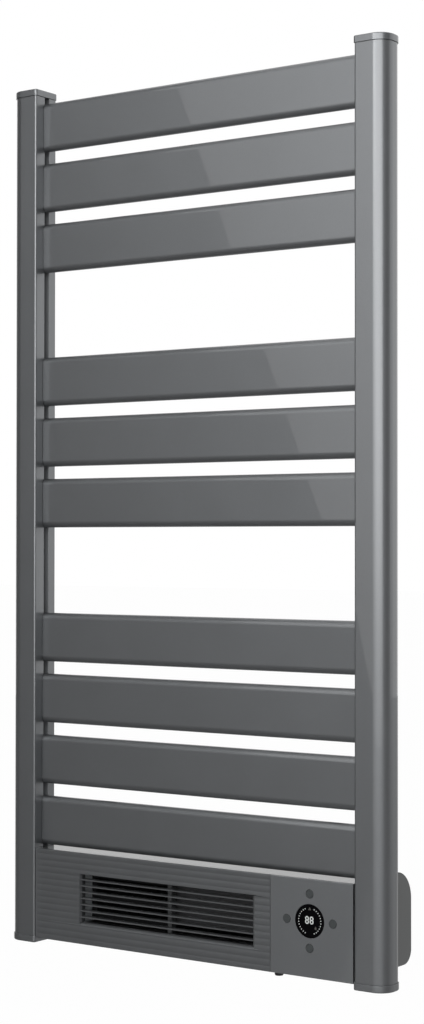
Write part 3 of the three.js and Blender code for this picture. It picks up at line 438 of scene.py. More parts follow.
def piece(name, solid, look, body="rail", stands_for=(), edge=0.0, sharp=35):
    """Turns a solid into a piece of the object. Edge is the width of the bevel on its corners."""
    made = put(name, mesh_of(name, solid))
    made.data.materials.append(LOOKS[look])
    made.data.shade_smooth()
    if edge:
        bevel = made.modifiers.new("Soft edges", "BEVEL")
        bevel.width = edge
        bevel.segments = 2
        bevel.limit_method = "ANGLE"
        bevel.angle_limit = math.radians(sharp)
        bevel.use_clamp_overlap = True
    else:
        made.data.set_sharp_from_angle(angle=math.radians(sharp))
    made.modifiers.new("Even shading", "WEIGHTED_NORMAL").keep_sharp = True
    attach(made, body)
    if stands_for:
        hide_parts(*stands_for)
    return made


# ---------------------------------------------------------------- shader maths

class Term:
    """A shader value that adds Math nodes as it takes part in arithmetic."""

    def __init__(self, look, socket):
        self.look = look
        self.socket = socket

    def _math(self, operation, first, second):
        return self.look.node("ShaderNodeMath", {"operation": operation}, {0: first, 1: second})

    def __add__(self, other):
        return self._math("ADD", self, other)

    def __radd__(self, other):
        return self._math("ADD", other, self)

    def __sub__(self, other):
        return self._math("SUBTRACT", self, other)

    def __rsub__(self, other):
        return self._math("SUBTRACT", other, self)

    def __mul__(self, other):
        return self._math("MULTIPLY", self, other)

    def __rmul__(self, other):
        return self._math("MULTIPLY", other, self)


class Look:
    """A node material, or the world, that is built by arithmetic on its values."""

    def __init__(self, owner):
        self.owner = owner
        owner.use_nodes = True
        self.tree = owner.node_tree
        self.tree.nodes.clear()

    def node(self, kind, settings=None, values=None, output=0):
        """Adds a node: its settings first, then the values or links of its sockets."""
        made = self.tree.nodes.new(kind)
        for name, value in (settings or {}).items():
            if name == "stops":
                self._stops(made.color_ramp, value)
            else:
                setattr(made, name, value)
        for name, value in (values or {}).items():
            if isinstance(value, Term):
                self.tree.links.new(value.socket, made.inputs[name])
            else:
                made.inputs[name].default_value = value
        return Term(self, made.outputs[output]) if len(made.outputs) else made

    @staticmethod
    def _stops(ramp, stops):
        while len(ramp.elements) < len(stops):
            ramp.elements.new(1)
        for element, (position, shade) in zip(ramp.elements, stops):
            element.position = position
            element.color = (shade, shade, shade, 1)

    def place(self):
        """Where a point lies on its piece, in metres."""
        return self.node("ShaderNodeTexCoord", output="Object")

    def noise(self, size, detail=2.0):
        """Soft noise whose patches are about size metres across."""
        return self.node("ShaderNodeTexNoise", values={
            "Vector": self.place(), "Scale": 1 / size, "Detail": detail})

    def cells(self, size, output):
        """Random cells about size metres across: their Color, or the Distance in them."""
        return self.node("ShaderNodeTexVoronoi", values={
            "Vector": self.place(), "Scale": 1 / size}, output=output)

    def ramp(self, value, *stops):
        """A value sent through a ramp of (position, shade) stops."""
        return self.node("ShaderNodeValToRGB", {"stops": stops}, {"Fac": value})

    def mix(self, mask, first, second):
        """Two colours mixed by a mask."""
        return self.node("ShaderNodeMix", {"data_type": "RGBA"}, {
            0: mask, 6: opaque(first), 7: opaque(second)}, output=2)

    def bump(self, height, depth):
        """A normal from a height that goes from 0 to 1 over depth metres."""
        return self.node("ShaderNodeBump", values={
            "Height": height, "Distance": depth, "Strength": 1.0})

    def split(self, vector):
        """The three parts of a vector."""
        parts = self.node("ShaderNodeSeparateXYZ", values={0: vector})
        return [Term(self, socket) for socket in parts.socket.node.outputs]

    def close(self, shader, output="ShaderNodeOutputMaterial"):
        """Sends a shader to the output."""
        self.node(output, values={"Surface": shader})
        return self.owner

    def surface(self, **values):
        """The material's main shader, with its sockets' values."""
        return self.close(self.node("ShaderNodeBsdfPrincipled", values={
            name.replace("_", " "): value for name, value in values.items()}))


def opaque(value):
    """A colour with alpha, or a term as it is."""
    return value if isinstance(value, Term) else (*value[:3], 1)


def shade(value, factor):
    """A colour made lighter or darker."""
    return tuple(min(1, part * factor) for part in value[:3])


def new_look(name):
    """An empty look on a new material."""
    return Look(bpy.data.materials.new(name))


# ---------------------------------------------------------------- finishes

PAINT_CLOUD, PAINT_FLAKE, PAINT_PEEL, PEEL_DEPTH = 40 * MM, 0.35 * MM, 2.5 * MM, 0.0015 * MM
MOULDING_CLOUD, MOULDING_GRAIN, GRAIN_DEPTH = 25 * MM, 0.5 * MM, 0.012 * MM
WHITE = (1, 1, 1, 1)


def grained(look, base, roughness, swing, grain, depth=0.0, **rest):
    """A surface whose roughness swings with its grain, which stands out by depth."""
    if depth:
        rest["Normal"] = look.bump(grain, depth)
    return look.surface(Base_Color=base, Roughness=roughness + swing * (grain - 0.5), **rest)


def painted_metal(name, tone, coat, coat_roughness):
    """Anthracite paint with fine flakes under a clear coat."""
    finish = bpy.context.scene.finishes
    look = new_look(name)
    cloud = look.noise(PAINT_CLOUD)
    tint = look.mix(cloud, shade(finish.paint, 0.97 * tone), shade(finish.paint, 1.03 * tone))
    flakes = look.ramp(look.cells(PAINT_FLAKE, "Color"), (0.0, 0.93), (1.0, 1.07))
    flaked = look.node("ShaderNodeVectorMath", {"operation": "MULTIPLY"}, {0: tint, 1: flakes})
    return look.surface(
        Base_Color=flaked,
        Metallic=finish.paint_metallic,
        Roughness=finish.paint_roughness + 0.04 * (cloud - 0.5),
        Coat_Weight=coat,
        Coat_Roughness=coat_roughness,
        Normal=look.bump(look.noise(PAINT_PEEL, detail=1.0), PEEL_DEPTH),
    )


def cap_paint():
    """The rail's paint, with the flat end of each cap left matt."""
    finish = bpy.context.scene.finishes
    look = new_look("cap_paint")
    _, _, up = look.split(look.node("ShaderNodeNewGeometry", output="Normal"))
    end = look.ramp(up, (0.9, 0.0), (0.97, 1.0))
    side = look.mix(look.noise(PAINT_CLOUD), shade(finish.paint, 0.99), shade(finish.paint, 1.05))
    return look.surface(
        Base_Color=look.mix(end, side, shade(finish.paint, finish.cap_end_tone)),
        Metallic=finish.paint_metallic * (1 - end),
        Roughness=finish.paint_roughness + 0.45 * end,
        Coat_Weight=finish.paint_coat * (1 - end),
        Coat_Roughness=finish.paint_coat_roughness,
        Normal=look.bump(look.noise(PAINT_PEEL, detail=1.0), PEEL_DEPTH),
    )


def moulded(name, tint, roughness, depth=GRAIN_DEPTH):
    """Moulded plastic with a fine spark-eroded grain."""
    look = new_look(name)
    base = look.mix(look.noise(MOULDING_CLOUD), shade(tint, 0.96), shade(tint, 1.04))
    return grained(look, base, roughness, 0.1, look.noise(MOULDING_GRAIN, detail=3.0), depth)


def casing_moulding():
    """Plain grey plastic, polished on top."""
    finish = bpy.context.scene.finishes
    look = new_look("casing_moulding")
    _, _, up = look.split(look.place())
    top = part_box("heater_casing")[1].z
    polish = look.ramp((up - top) * (1 / (4 * MM)) + 1.0, (0.5, 0.0), (0.9, 1.0))
    base = look.mix(look.noise(MOULDING_CLOUD), shade(finish.casing, 0.96),
                    shade(finish.casing, 1.04))
    return grained(look, base, finish.moulding_roughness - 0.18 * polish, 0.08,
                   look.noise(MOULDING_GRAIN, detail=3.0), 0.003 * MM)


def duct_moulding_with_painted_light():
    """Black plastic with painted light: paler on the duct's left wall and on the plate at its
    right.
    """
    finish = bpy.context.scene.finishes
    look = new_look("duct_moulding_with_painted_light")
    x, _, _ = look.split(look.place())
    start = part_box("outlet_duct")[0].x

    def past(place, blend):
        """0 before a distance from the duct's left end and 1 after it."""
        return look.ramp((x - start - place) * (1 / blend) + 0.5, (0.0, 0.0), (1.0, 1.0))

    # Painted light: the blank plate at the right and the left wall are made paler than the plastic,
    # as if lit.
    blank = past(bpy.context.scene.heater_sizes.blown_width, 40 * MM)
    inside = look.mix(blank, finish.dark, shade(finish.dark, finish.duct_blank_tone))
    wall = shade(finish.moulding, finish.duct_wall_tone)
    return grained(look, look.mix(past(7 * MM, 2 * MM), wall, inside), 0.5, 0.1,
                   look.noise(MOULDING_GRAIN, detail=3.0), GRAIN_DEPTH)


def display_glass():
    """Black window with a glossy face."""
    glass = bpy.context.scene.finishes.glass
    look = new_look("display_glass")
    haze = look.noise(6 * MM)
    return grained(look, look.mix(haze, glass, shade(glass, 1.6)), 0.1, 0.04, haze,
                   Specular_IOR_Level=0.08)


def lit_sign(name, tint, strength):
    """A lit sign with a slightly uneven glow."""
    look = new_look(name)
    return look.surface(
        Base_Color=(0.02, 0.02, 0.02, 1),
        Roughness=0.5,
        Emission_Color=look.mix(look.noise(1.5 * MM), shade(tint, 0.92), tint),
        Emission_Strength=strength,
    )


def zinc_steel():
    """Zinc-plated steel with faint brushing."""
    look = new_look("zinc_steel")
    base = look.mix(look.noise(5 * MM), (0.42, 0.43, 0.44), (0.52, 0.53, 0.53))
    brushing = look.noise(0.4 * MM, detail=4.0)
    return grained(look, base, 0.32, 0.12, brushing, 0.006 * MM, Metallic=1.0)


def blackened_fins():
    """Aluminium fins with a dark oxide."""
    look = new_look("blackened_fins")
    cloud = look.noise(3 * MM)
    return grained(look, look.mix(cloud, (0.006, 0.006, 0.007), (0.012, 0.012, 0.013)), 0.6, 0.1,
                   cloud, Specular_IOR_Level=0.2)


def heating_film():
    """Amber film with the etched track of its element."""
    look = new_look("heating_film")
    _, _, z = look.split(look.place())
    wave = look.node("ShaderNodeMath", {"operation": "SINE"}, {0: z * (2 * math.pi / (4 * MM))})
    track = look.ramp(0.5 + 0.5 * wave, (0.45, 0.0), (0.55, 1.0))
    return grained(look, look.mix(track, (0.33, 0.13, 0.03), (0.45, 0.42, 0.40)), 0.4, 0.1,
                   look.noise(2 * MM))


def circuit_board():
    """Green lacquer with tracks just visible under it."""
    look = new_look("circuit_board")
    tracks = look.ramp(look.cells(3 * MM, "Distance"), (0.35, 0.0), (0.45, 1.0))
    return grained(look, look.mix(tracks, (0.012, 0.085, 0.035), (0.03, 0.15, 0.06)), 0.35, 0.1,
                   tracks, 0.02 * MM)


def rubber():
    """Soft black rubber with dust in its pores."""
    look = new_look("black_rubber")
    fine = look.noise(0.6 * MM, detail=4.0)
    return grained(look, look.mix(fine, (0.012, 0.012, 0.013), (0.03, 0.03, 0.031)), 0.75, 0.1,
                   fine, 0.02 * MM)


def make_finishes():
    """Every finish, by the name that the pieces ask for."""
    finish = bpy.context.scene.finishes
    clear = finish.paint_coat, finish.paint_coat_roughness
    satin = finish.bracket_coat, finish.bracket_coat_roughness
    plastic = finish.moulding_roughness
    return {
        "paint": painted_metal("anthracite_paint", finish.rail_tone, *clear),
        "bracket": painted_metal("bracket_paint", finish.rail_tone, *satin),
        # The two front panels: the rail's paint with painted shade on the reeded one and painted
        # light on the flat one.
        "front": painted_metal("reeded_front_paint_with_painted_shade", finish.front_tone, *clear),
        "control": painted_metal("control_panel_paint_with_painted_light", finish.control_tone, *clear),
        "cap": cap_paint(),
        "moulding": moulded("heater_moulding", finish.moulding, plastic),
        "vane": moulded("vane_moulding", shade(finish.moulding, finish.vane_tone), plastic),
        "matt": moulded("matt_lining", shade(finish.moulding, finish.lining_tone), 0.6),
        "dark": moulded("dark_moulding", finish.dark, 0.55),
        "net": moulded("filter_net", (0.03, 0.031, 0.033), 0.7),
        "key": moulded("key_moulding", finish.key, 0.4, 0.004 * MM),
        "key_mark": moulded("key_mark", finish.key_mark, 0.5, 0.002 * MM),
        "casing": casing_moulding(),
        "duct": duct_moulding_with_painted_light(),
        "glass": display_glass(),
        "lit": lit_sign("lit_digits", finish.lit, finish.lit_strength),
        "lit_tick": lit_sign("lit_ticks", finish.lit, finish.lit_strength),
        "lit_dim": lit_sign("dim_icons", finish.lit_icon, finish.lit_strength * finish.icon_share),
        "steel": zinc_steel(),
        "fins": blackened_fins(),
        "film": heating_film(),
        "board": circuit_board(),
        "rubber": rubber(),
    }


CAD_LOOKS = {
    "steel": ["left_heater_screw", "right_heater_screw", "thermal_cutout", "rotor_shaft",
              "fan_motor"],
    "film": [name.replace("slat", "heating_strip") for name in SLATS],
    "fins": ["heating_element"],
    "duct": ["outlet_duct"],
    "dark": ["blower_scroll", "terminal_block"],
    "rubber": ["bearing_bush"],
    "board": ["display_board", "power_board"],
    "net": ["intake_filter"],
}


# ---------------------------------------------------------------- places taken from the frame

def span(node, axis):
    """A node's lowest and highest coordinate along an axis: 0, 1 or 2."""
    low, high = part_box(node)
    return low[axis], high[axis]


def centre(node):
    """The middle of a node's box."""
    low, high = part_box(node)
    return (low + high) / 2


def middle(node):
    """The x and z of a node's middle."""
    low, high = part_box(node)
    return (low.x + high.x) / 2, (low.z + high.z) / 2


def half_width(node):
    """Half of a node's width."""
    low, high = span(node, 0)
    return (high - low) / 2


# ---------------------------------------------------------------- the rail

SHOULDER_GAP = 0.3 * MM  # a slat's milled end to the post
CAP_SEAM, CAP_CHAMFER = 0.3 * MM, 0.25 * MM  # a cap's gap to its post, and its edge there
LINING_GAP = 0.02 * MM  # the lining to the channel's walls
ARM_FILLET, ARM_GAP = 2 * MM, 0.3 * MM  # at the saddle, and round the rosette's stub
ARM_SETBACK = 3 * MM  # a rosette's rim to the edge of the arm's foot
GRUB_HOLE, GRUB_HOLE_DEPTH = 2.2 * MM, 20 * MM
OVERLAP = 1 * MM  # how far solids that are joined or cut reach into each other


def channel_sides():
    """The y of the channel's front and back wall."""
    sizes = bpy.context.scene.rail_sizes
    front, back = span("slat_01", 1)
    return front + sizes.end_step - sizes.channel_play, back + sizes.channel_play


def post_outline(side, grow=0.0, channel=False):
    """A post's D, grown outward, with or without its channel. Drawn in (x, y)."""
    sizes = bpy.context.scene.rail_sizes
    x0, x1 = span("right_post", 0)
    y0, y1 = span("right_post", 1)
    width, depth = x1 - x0, y1 - y0
    corner, edge = sizes.post_corner, sizes.post_edge
    points = (arc(edge, edge, edge + grow, 180, 270, 6)
              + arc(width - corner, corner, corner + grow, -90, 0, 28)
              + arc(width - corner, depth - corner, corner + grow, 0, 90, 28)
              + arc(edge, depth - edge, edge + grow, 90, 180, 6))
    if channel:
        front, back = (y - y0 for y in channel_sides())
        lip, reach = sizes.channel_lip, sizes.channel_reach
        points += (arc(lip, back + lip, lip, 180, 270, 4) + [(reach, back), (reach, front)]
                   + arc(lip, front - lip, lip, 90, 180, 4))
    return [(side * (x0 + u), y0 + v) for u, v in points]


def lining_outline(side):
    """A thin U against the channel's three walls, in (x, y)."""
    sizes = bpy.context.scene.rail_sizes
    inner = span("right_post", 0)[0]
    near, far = inner + sizes.channel_lip, inner + sizes.channel_reach - LINING_GAP
    front, back = (wall + gap for wall, gap in zip(channel_sides(), (LINING_GAP, -LINING_GAP)))
    thick = sizes.channel_lining
    return [(side * x, y) for x, y in (
        (near, front), (far, front), (far, back), (near, back), (near, back - thick),
        (far - thick, back - thick), (far - thick, front + thick), (near, front + thick))]


class HEATER_OT_posts(Operator):
    """Build the two posts with their channels"""

    bl_idname = "heater.posts"
    bl_label = "Posts"

    def execute(self, context):
        for word, side in SIDES:
            node = f"{word}_post"
            low, high = span(node, 2)
            body = prism(post_outline(side, channel=True), "Z", low, high)
            lining = prism(lining_outline(side), "Z", low, high)
            piece(f"{node}_body", body, "paint", stands_for=[node], sharp=30)
            piece(f"{word}_channel_lining", lining, "matt")
        return {"FINISHED"}


class HEATER_OT_caps(Operator):
    """Build the caps on the posts' ends"""

    bl_idname = "heater.caps"
    bl_label = "Caps"

    def execute(self, context):
        sizes = context.scene.rail_sizes
        lip, rise = sizes.cap_lip, sizes.cap_round
        for word, side in SIDES:
            for level, end, way in (("top", 1, 1), ("bottom", 0, -1)):
                node = f"{word}_{level}_cap"
                face, tip = span(f"{word}_post", 2)[end], span(node, 2)[end]
                layers = [(face + way * CAP_SEAM, lip - CAP_CHAMFER),
                          (face + way * (CAP_SEAM + CAP_CHAMFER), lip)]
                layers += [(tip - way * (2 * rise - y), x)
                           for x, y in arc(lip - rise, rise, rise, 0, 90, 6)]
                rings = [[(x, y, z) for x, y in post_outline(side, grow)] for z, grow in layers]
                piece(f"{node}_body", stack(rings), "cap", stands_for=[node], sharp=60)
        return {"FINISHED"}


class HEATER_OT_slats(Operator):
    """Build the ten slats"""

    bl_idname = "heater.slats"
    bl_label = "Slats"

    def execute(self, context):
        sizes = context.scene.rail_sizes
        shoulder = span("right_post", 0)[0] - SHOULDER_GAP
        for node in SLATS:
            low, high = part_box(node)
            outline = rounded((low.y, low.z), (high.y, high.z), sizes.slat_edge, sizes.slat_fall,
                              steps=12)
            steps = [block((a, low.y - MM, low.z - MM), (b, low.y + sizes.end_step, high.z + MM))
                     for a, b in ((shoulder, high.x + MM), (low.x - MM, -shoulder))]
            solid = carve(prism(outline, "X", low.x, high.x), *steps)
            piece(f"{node}_bar", solid, "paint", stands_for=[node], sharp=30)
        return {"FINISHED"}


class HEATER_OT_brackets(Operator):
    """Build the wall brackets: each an arm with its saddle, and a rosette with its stub"""

    bl_idname = "heater.brackets"
    bl_label = "Wall brackets"

    def execute(self, context):
        sizes = context.scene.rail_sizes
        radius, taper = sizes.arm_radius, sizes.arm_taper
        for word in BRACKETS:
            arm, rosette = f"{word}_bracket_arm", f"{word}_wall_rosette"
            low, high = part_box(arm)
            x, z = middle(arm)
            saddle = low.y + sizes.saddle_thickness
            flare = half_width(rosette) - ARM_SETBACK - radius
            bend = [(radius + flare * (1 - math.cos(math.pi * k / 16)) / 2,
                     high.y - taper + taper * k / 16) for k in range(17)]
            bore, bore_end = sizes.stub_radius + ARM_GAP, span(rosette, 1)[0] - OVERLAP
            profile = ([(0, saddle - OVERLAP), (radius + ARM_FILLET, saddle - OVERLAP)]
                       + arc(radius + ARM_FILLET, saddle + ARM_FILLET, ARM_FILLET, 270, 180, 5)
                       + bend + [(bore, high.y), (bore, bore_end), (0, bore_end)])
            plate = prism(rounded((low.x, low.z), (high.x, high.z), sizes.saddle_corner,
                                  sizes.saddle_corner), "Y", low.y, saddle)
            hole = circle(x, -sizes.grub_position, GRUB_HOLE, 24)
            solid = carve(fused(plate, turned(profile, "Y", (x, 0, z))),
                          prism(hole, "Z", z - GRUB_HOLE_DEPTH, z))
            piece(f"{arm}_body", solid, "bracket", stands_for=[arm],
                  edge=0.5 * MM, sharp=40)
            piece(f"{rosette}_body", self.rosette(rosette, x, z), "bracket",
                  stands_for=[rosette], sharp=30)
        return {"FINISHED"}

    @staticmethod
    def rosette(node, x, z):
        """A wall rosette with its countersunk stub."""
        sizes = bpy.context.scene.rail_sizes
        radius, tip = half_width(node), span(node, 1)[0]
        rim, hole, stub = sizes.rosette_thickness, sizes.wall_screw / 2, sizes.stub_radius
        edge, chamfer = 1.2 * MM, 0.4 * MM
        profile = ([(hole, 0), (radius, 0)] + arc(radius - edge, edge - rim, edge, 0, -90, 6)
                   + [(stub, -rim), (stub, tip + chamfer), (stub - chamfer, tip), (2 * hole, tip),
                      (hole, tip + hole)])
        return turned(profile, "Y", (x, 0, z))


# ---------------------------------------------------------------- the heater's housing

SUNK = 0.2 * MM  # how far a guide or a boss starts inside the wall that carries it
SLOT_PLAY, SLOT_RAIL, SLOT_HEIGHT = 0.5 * MM, 2 * MM, 5 * MM  # of the filter's slot
GROMMET_HOLE, SENSOR_HOLE, PANEL_SCREW_HOLE = 5.9 * MM, 2.6 * MM, 1.8 * MM
BOARD_THICKNESS, BOARD_GUIDE = 1.6 * MM, 1.4 * MM  # the power board, and each guide beside it
BOSS_RADIUS = 3 * MM  # the display board's four bosses
SEAL_PLAY, SEAL_SETBACK, SEAL_DEPTH = 0.05 * MM, 0.5 * MM, 7.5 * MM  # in the gap at the left


def casing_outline(inset, front):
    """Side view of the casing in (y, z), inset from its outer skin."""
    sizes = bpy.context.scene.heater_sizes
    low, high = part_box("heater_casing")
    upper, lower = sizes.top_radius - inset, sizes.bottom_radius - inset
    top, bottom, back = high.z - inset, low.z + inset, high.y - inset
    return ([(front, bottom)] + arc(back - lower, bottom + lower, lower, -90, 0, 20)
            + arc(back - upper, top - upper, upper, 0, 90, 28) + [(front, top)])


def panel_screw_places():
    """The x of each screw under the front panels."""
    inset = bpy.context.scene.heater_sizes.screw_inset
    return [x for node in ("front_panel", "control_panel")
            for x in (span(node, 0)[0] + inset, span(node, 0)[1] - inset)]


class HEATER_OT_casing(Operator):
    """Build the rear casing with its intake, filter slot, tongues and holes"""

    bl_idname = "heater.casing"
    bl_label = "Casing"

    def execute(self, context):
        sizes = context.scene.heater_sizes
        left, right = span("front_panel", 0)[0], span("control_panel", 0)[1]
        low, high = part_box("heater_casing")
        wall, floor, half = sizes.wall, low.z + sizes.wall, sizes.tongue_height / 2
        outer = prism(casing_outline(0, low.y), "X", left, right)
        inner = prism(casing_outline(wall, low.y - MM), "X", left + wall, right - wall)
        front, back = span("slat_01", 1)
        front += context.scene.rail_sizes.end_step
        tongues = [block((a, front, -half), (b, back, half))
                   for a, b in ((low.x, left + MM), (right - MM, high.x))]
        tray_low, tray_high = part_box("intake_filter")
        slot = block((left - MM, tray_low.y + SLOT_RAIL - SLOT_PLAY, floor),
                     (left + wall + MM, tray_high.y - SLOT_RAIL + SLOT_PLAY, floor + SLOT_HEIGHT))
        openings = self.intake(left + sizes.outlet_inset) + self.holes(low.y)
        cuts = [prism(outline, "Z", low.z - MM, floor + MM) for outline in openings]
        solid = carve(fused(outer, *tongues), inner, slot, *cuts)
        board_low, board_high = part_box("power_board")
        board_back = board_high.x + sizes.seat
        board_front = board_high.x - BOARD_THICKNESS - sizes.seat
        for x in (board_front - BOARD_GUIDE, board_back):
            solid = fused(solid, block((x, board_low.y, floor - SUNK),
                                       (x + BOARD_GUIDE, board_high.y, floor + SLOT_HEIGHT)))
        piece("casing_shell", solid, "casing", stands_for=["heater_casing"],
              edge=0.35 * MM, sharp=40)
        return {"FINISHED"}

    @staticmethod
    def intake(start):
        """Outlines of the slots in the casing's floor, from a start in x."""
        sizes = bpy.context.scene.heater_sizes
        slot, gap, columns = sizes.intake_slot, sizes.intake_bar, sizes.intake_columns
        width, round_end = (sizes.blown_width - (columns + 1) * gap) / columns, slot / 2.2
        slots = []
        for row in range(sizes.intake_rows):
            back = -sizes.intake_back - row * (slot + gap)
            for column in range(columns):
                x = start + gap + column * (width + gap)
                slots.append(rounded((x, back - slot), (x + width, back), round_end, round_end, 6))
        return slots

    @staticmethod
    def holes(front):
        """Outlines of the round holes in the floor."""
        grommet, sensor = centre("lead_grommet"), centre("room_sensor")
        y = front + bpy.context.scene.heater_sizes.screw_back
        found = [(grommet.x, grommet.y, GROMMET_HOLE), (sensor.x, sensor.y, SENSOR_HOLE)]
        found += [(x, y, PANEL_SCREW_HOLE) for x in panel_screw_places()]
        return [circle(*place, steps=32) for place in found]


def panel_solid(node, front_line=()):
    """A front panel with its two rims, cut clear of the casing's wall at its outer end."""
    sizes = bpy.context.scene.heater_sizes
    low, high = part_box(node)
    casing_low, casing_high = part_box("heater_casing")
    edge, rim, back = sizes.panel_edge, sizes.panel_rim, low.y + sizes.panel_thickness
    clear = sizes.wall + sizes.seat
    top, bottom = casing_high.z - clear, casing_low.z + clear
    section = (arc(low.y + edge, low.z + edge, edge, 270, 180, 5) + list(front_line)
               + arc(low.y + edge, high.z - edge, edge, 180, 90, 5)
               + [(back, high.z), (back, top), (high.y, top), (high.y, top - rim),
                  (back, top - rim), (back, bottom + rim), (high.y, bottom + rim),
                  (high.y, bottom), (back, bottom), (back, low.z)])
    ends = (low.x - MM, low.x + clear) if node == "front_panel" else (high.x - clear, high.x + MM)
    return (prism(section, "X", low.x, high.x),
            block((ends[0], back, low.z), (ends[1], high.y + MM, high.z)))


class HEATER_OT_front_panel(Operator):
    """Build the reeded front panel with the outlet's opening"""

    bl_idname = "heater.front_panel"
    bl_label = "Front panel"

    def execute(self, context):
        sizes = context.scene.heater_sizes
        low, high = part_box("front_panel")
        edge, sill, half = sizes.panel_edge, sizes.sill, sizes.outlet_height / 2
        body, side = panel_solid("front_panel", self.reeds(low.y, low.z + edge, high.z - 2 * edge))
        front, back = low.y - MM, low.y + sizes.panel_thickness + MM
        top, bottom = sizes.outlet_middle + half, sizes.outlet_middle - half
        left = low.x + sizes.outlet_inset
        opening = prism([(front, top), (front, bottom - sill - MM), (low.y + sill, bottom),
                         (back, bottom), (back, top)], "X", left, left + sizes.outlet_width)
        piece("front_panel_plate", carve(body, opening, side), "front",
              stands_for=["front_panel"], edge=0.2 * MM, sharp=50)
        front = low.y + SEAL_SETBACK
        seal = block((span("left_post", 0)[1] + SEAL_PLAY, front, low.z),
                     (low.x - SEAL_PLAY, front + SEAL_DEPTH, high.z))
        piece("left_gap_seal", seal, "moulding")
        return {"FINISHED"}

    @staticmethod
    def reeds(front, bottom, top):
        """Convex reeds between two heights, in (y, z)."""
        sizes = bpy.context.scene.heater_sizes
        below, count, steps, fullness = 7.5, 17, 10, 0.75
        points = []
        for step in range(count * steps):
            z = sizes.outlet_middle + (step / steps - below) * sizes.reed_pitch
            if bottom < z < top:
                away = 1 - math.sin(math.pi * (step % steps) / steps) ** fullness
                points.append((front + sizes.reed_depth * away, z))
        return points


class HEATER_OT_control_panel(Operator):
    """Build the flat control panel with its round window and key holes"""

    bl_idname = "heater.control_panel"
    bl_label = "Control panel"

    def execute(self, context):
        sizes = context.scene.heater_sizes
        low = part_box("control_panel")[0]
        body, side = panel_solid("control_panel")
        back = low.y + sizes.panel_thickness
        holes = [("display_window", sizes.display_radius + sizes.display_play, 96)]
        holes += [(f"{word}_key", sizes.key_radius + sizes.key_play, 48) for word in KEYS]
        cuts = [prism(circle(*middle(node), radius, steps), "Y", low.y - MM, back + MM)
                for node, radius, steps in holes]
        board_low, board_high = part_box("display_board")
        ends = back - SUNK, back + sizes.board_standoff
        bosses = [prism(circle(x, z, BOSS_RADIUS, 24), "Y", *ends)
                  for x in (board_low.x + BOSS_RADIUS, board_high.x - BOSS_RADIUS)
                  for z in (board_low.z + BOSS_RADIUS, board_high.z - BOSS_RADIUS)]
        solid = fused(carve(body, *cuts, side), *bosses)
        piece("control_panel_plate", solid, "control", stands_for=["control_panel"],
              edge=0.2 * MM, sharp=50)
        return {"FINISHED"}


class HEATER_OT_grille(Operator):
    """Build the outlet grille: vanes, cheeks, stiffener and flange"""

    bl_idname = "heater.grille"
    bl_label = "Outlet grille"

    def execute(self, context):
        sizes = context.scene.heater_sizes
        low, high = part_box("outlet_grille")
        seat, cheek = sizes.seat, sizes.cheek
        left = span("front_panel", 0)[0] + sizes.outlet_inset + seat
        right = left + sizes.outlet_width - 2 * seat
        bottom = sizes.outlet_middle - sizes.outlet_height / 2 + seat
        top = sizes.outlet_middle + sizes.outlet_height / 2 - seat
        front, back = low.y, low.y + sizes.vane_depth
        start = front + sizes.panel_thickness + seat
        end = start + sizes.flange_thickness
        x, half = (left + right) / 2 + sizes.stiffener_shift, sizes.stiffener_width / 2
        root = 0.6 * MM
        parts = [block((x0, y0, z0), (x1, y1, z1)) for x0, x1, y0, y1, z0, z1 in (
            (low.x, high.x, start, end, top, high.z),
            (low.x, high.x, start, end, low.z, bottom),
            (low.x, left + cheek, start, end, bottom, top),
            (right - cheek, high.x, start, end, bottom, top),
            (left, left + cheek, front + MM, back, bottom, top),
            (right - cheek, right, front + MM, back, bottom, top),
            (x - half, x + half, back - root, back + sizes.stiffener_depth, bottom, top),
        )]
        rise = sizes.vane_thickness / 2
        nose = 0.8 * rise
        for vane in range(sizes.slots - 1):
            z = sizes.outlet_middle + (vane - (sizes.slots - 2) / 2) * sizes.reed_pitch
            section = arc(front + nose, z, nose, 270, 90, 8) + [(back, z + rise), (back, z - rise)]
            parts.append(prism(section, "X", left + seat, right - seat))
        piece("grille_vanes", fused(*parts), "vane", stands_for=["outlet_grille"],
              edge=0.15 * MM, sharp=50)
        return {"FINISHED"}


# ---------------------------------------------------------------- the blower

class HEATER_OT_rotor(Operator):
    """Build the blower's rotor with its curved blades"""

    bl_idname = "heater.rotor"
    bl_label = "Blower rotor"

    def execute(self, context):
        sizes = context.scene.fan_sizes
        low, high = span("blower_rotor", 0)
        axis = next(joint for joint in frame["joints"] if joint["name"] == "fan_spin")["pos_m"]
        y, z = axis[1], axis[2]
        disc, reach, inward = sizes.disc, sizes.disc + sizes.hub_length, 3 * MM
        half_way = (low + high - disc) / 2
        parts = [tube(inner, outer, start, end, "X", (0, y, z)) for inner, outer, start, end in (
            (sizes.bore, sizes.outer, low, low + disc),
            (sizes.bore, sizes.outer, high - disc, high),
            (sizes.inner - inward, sizes.outer, half_way, half_way + disc),
            (sizes.bore, sizes.hub, low + disc, low + reach),
            (sizes.bore, sizes.hub, high - reach, high - disc),
        )]
        mean, half = (sizes.outer + sizes.inner) / 2, (sizes.outer - sizes.inner) / 2
        bend, away, thick, sunk = 1.25 * half, 0.9 * half, sizes.blade / 2, 1.2 * MM
        first, last = 215, 325
        blade = (arc(mean, away, bend + thick, first, last, 8)
                 + arc(mean, away, bend - thick, last, first, 8))
        for number in range(sizes.blades):
            outline = swung(blade, 360 * number / sizes.blades, y, z)
            parts.append(prism(outline, "X", low + sunk, high - sunk))
        piece("rotor_wheel", fused(*parts), "dark", body="fan",
              stands_for=["blower_rotor"])
        return {"FINISHED"}


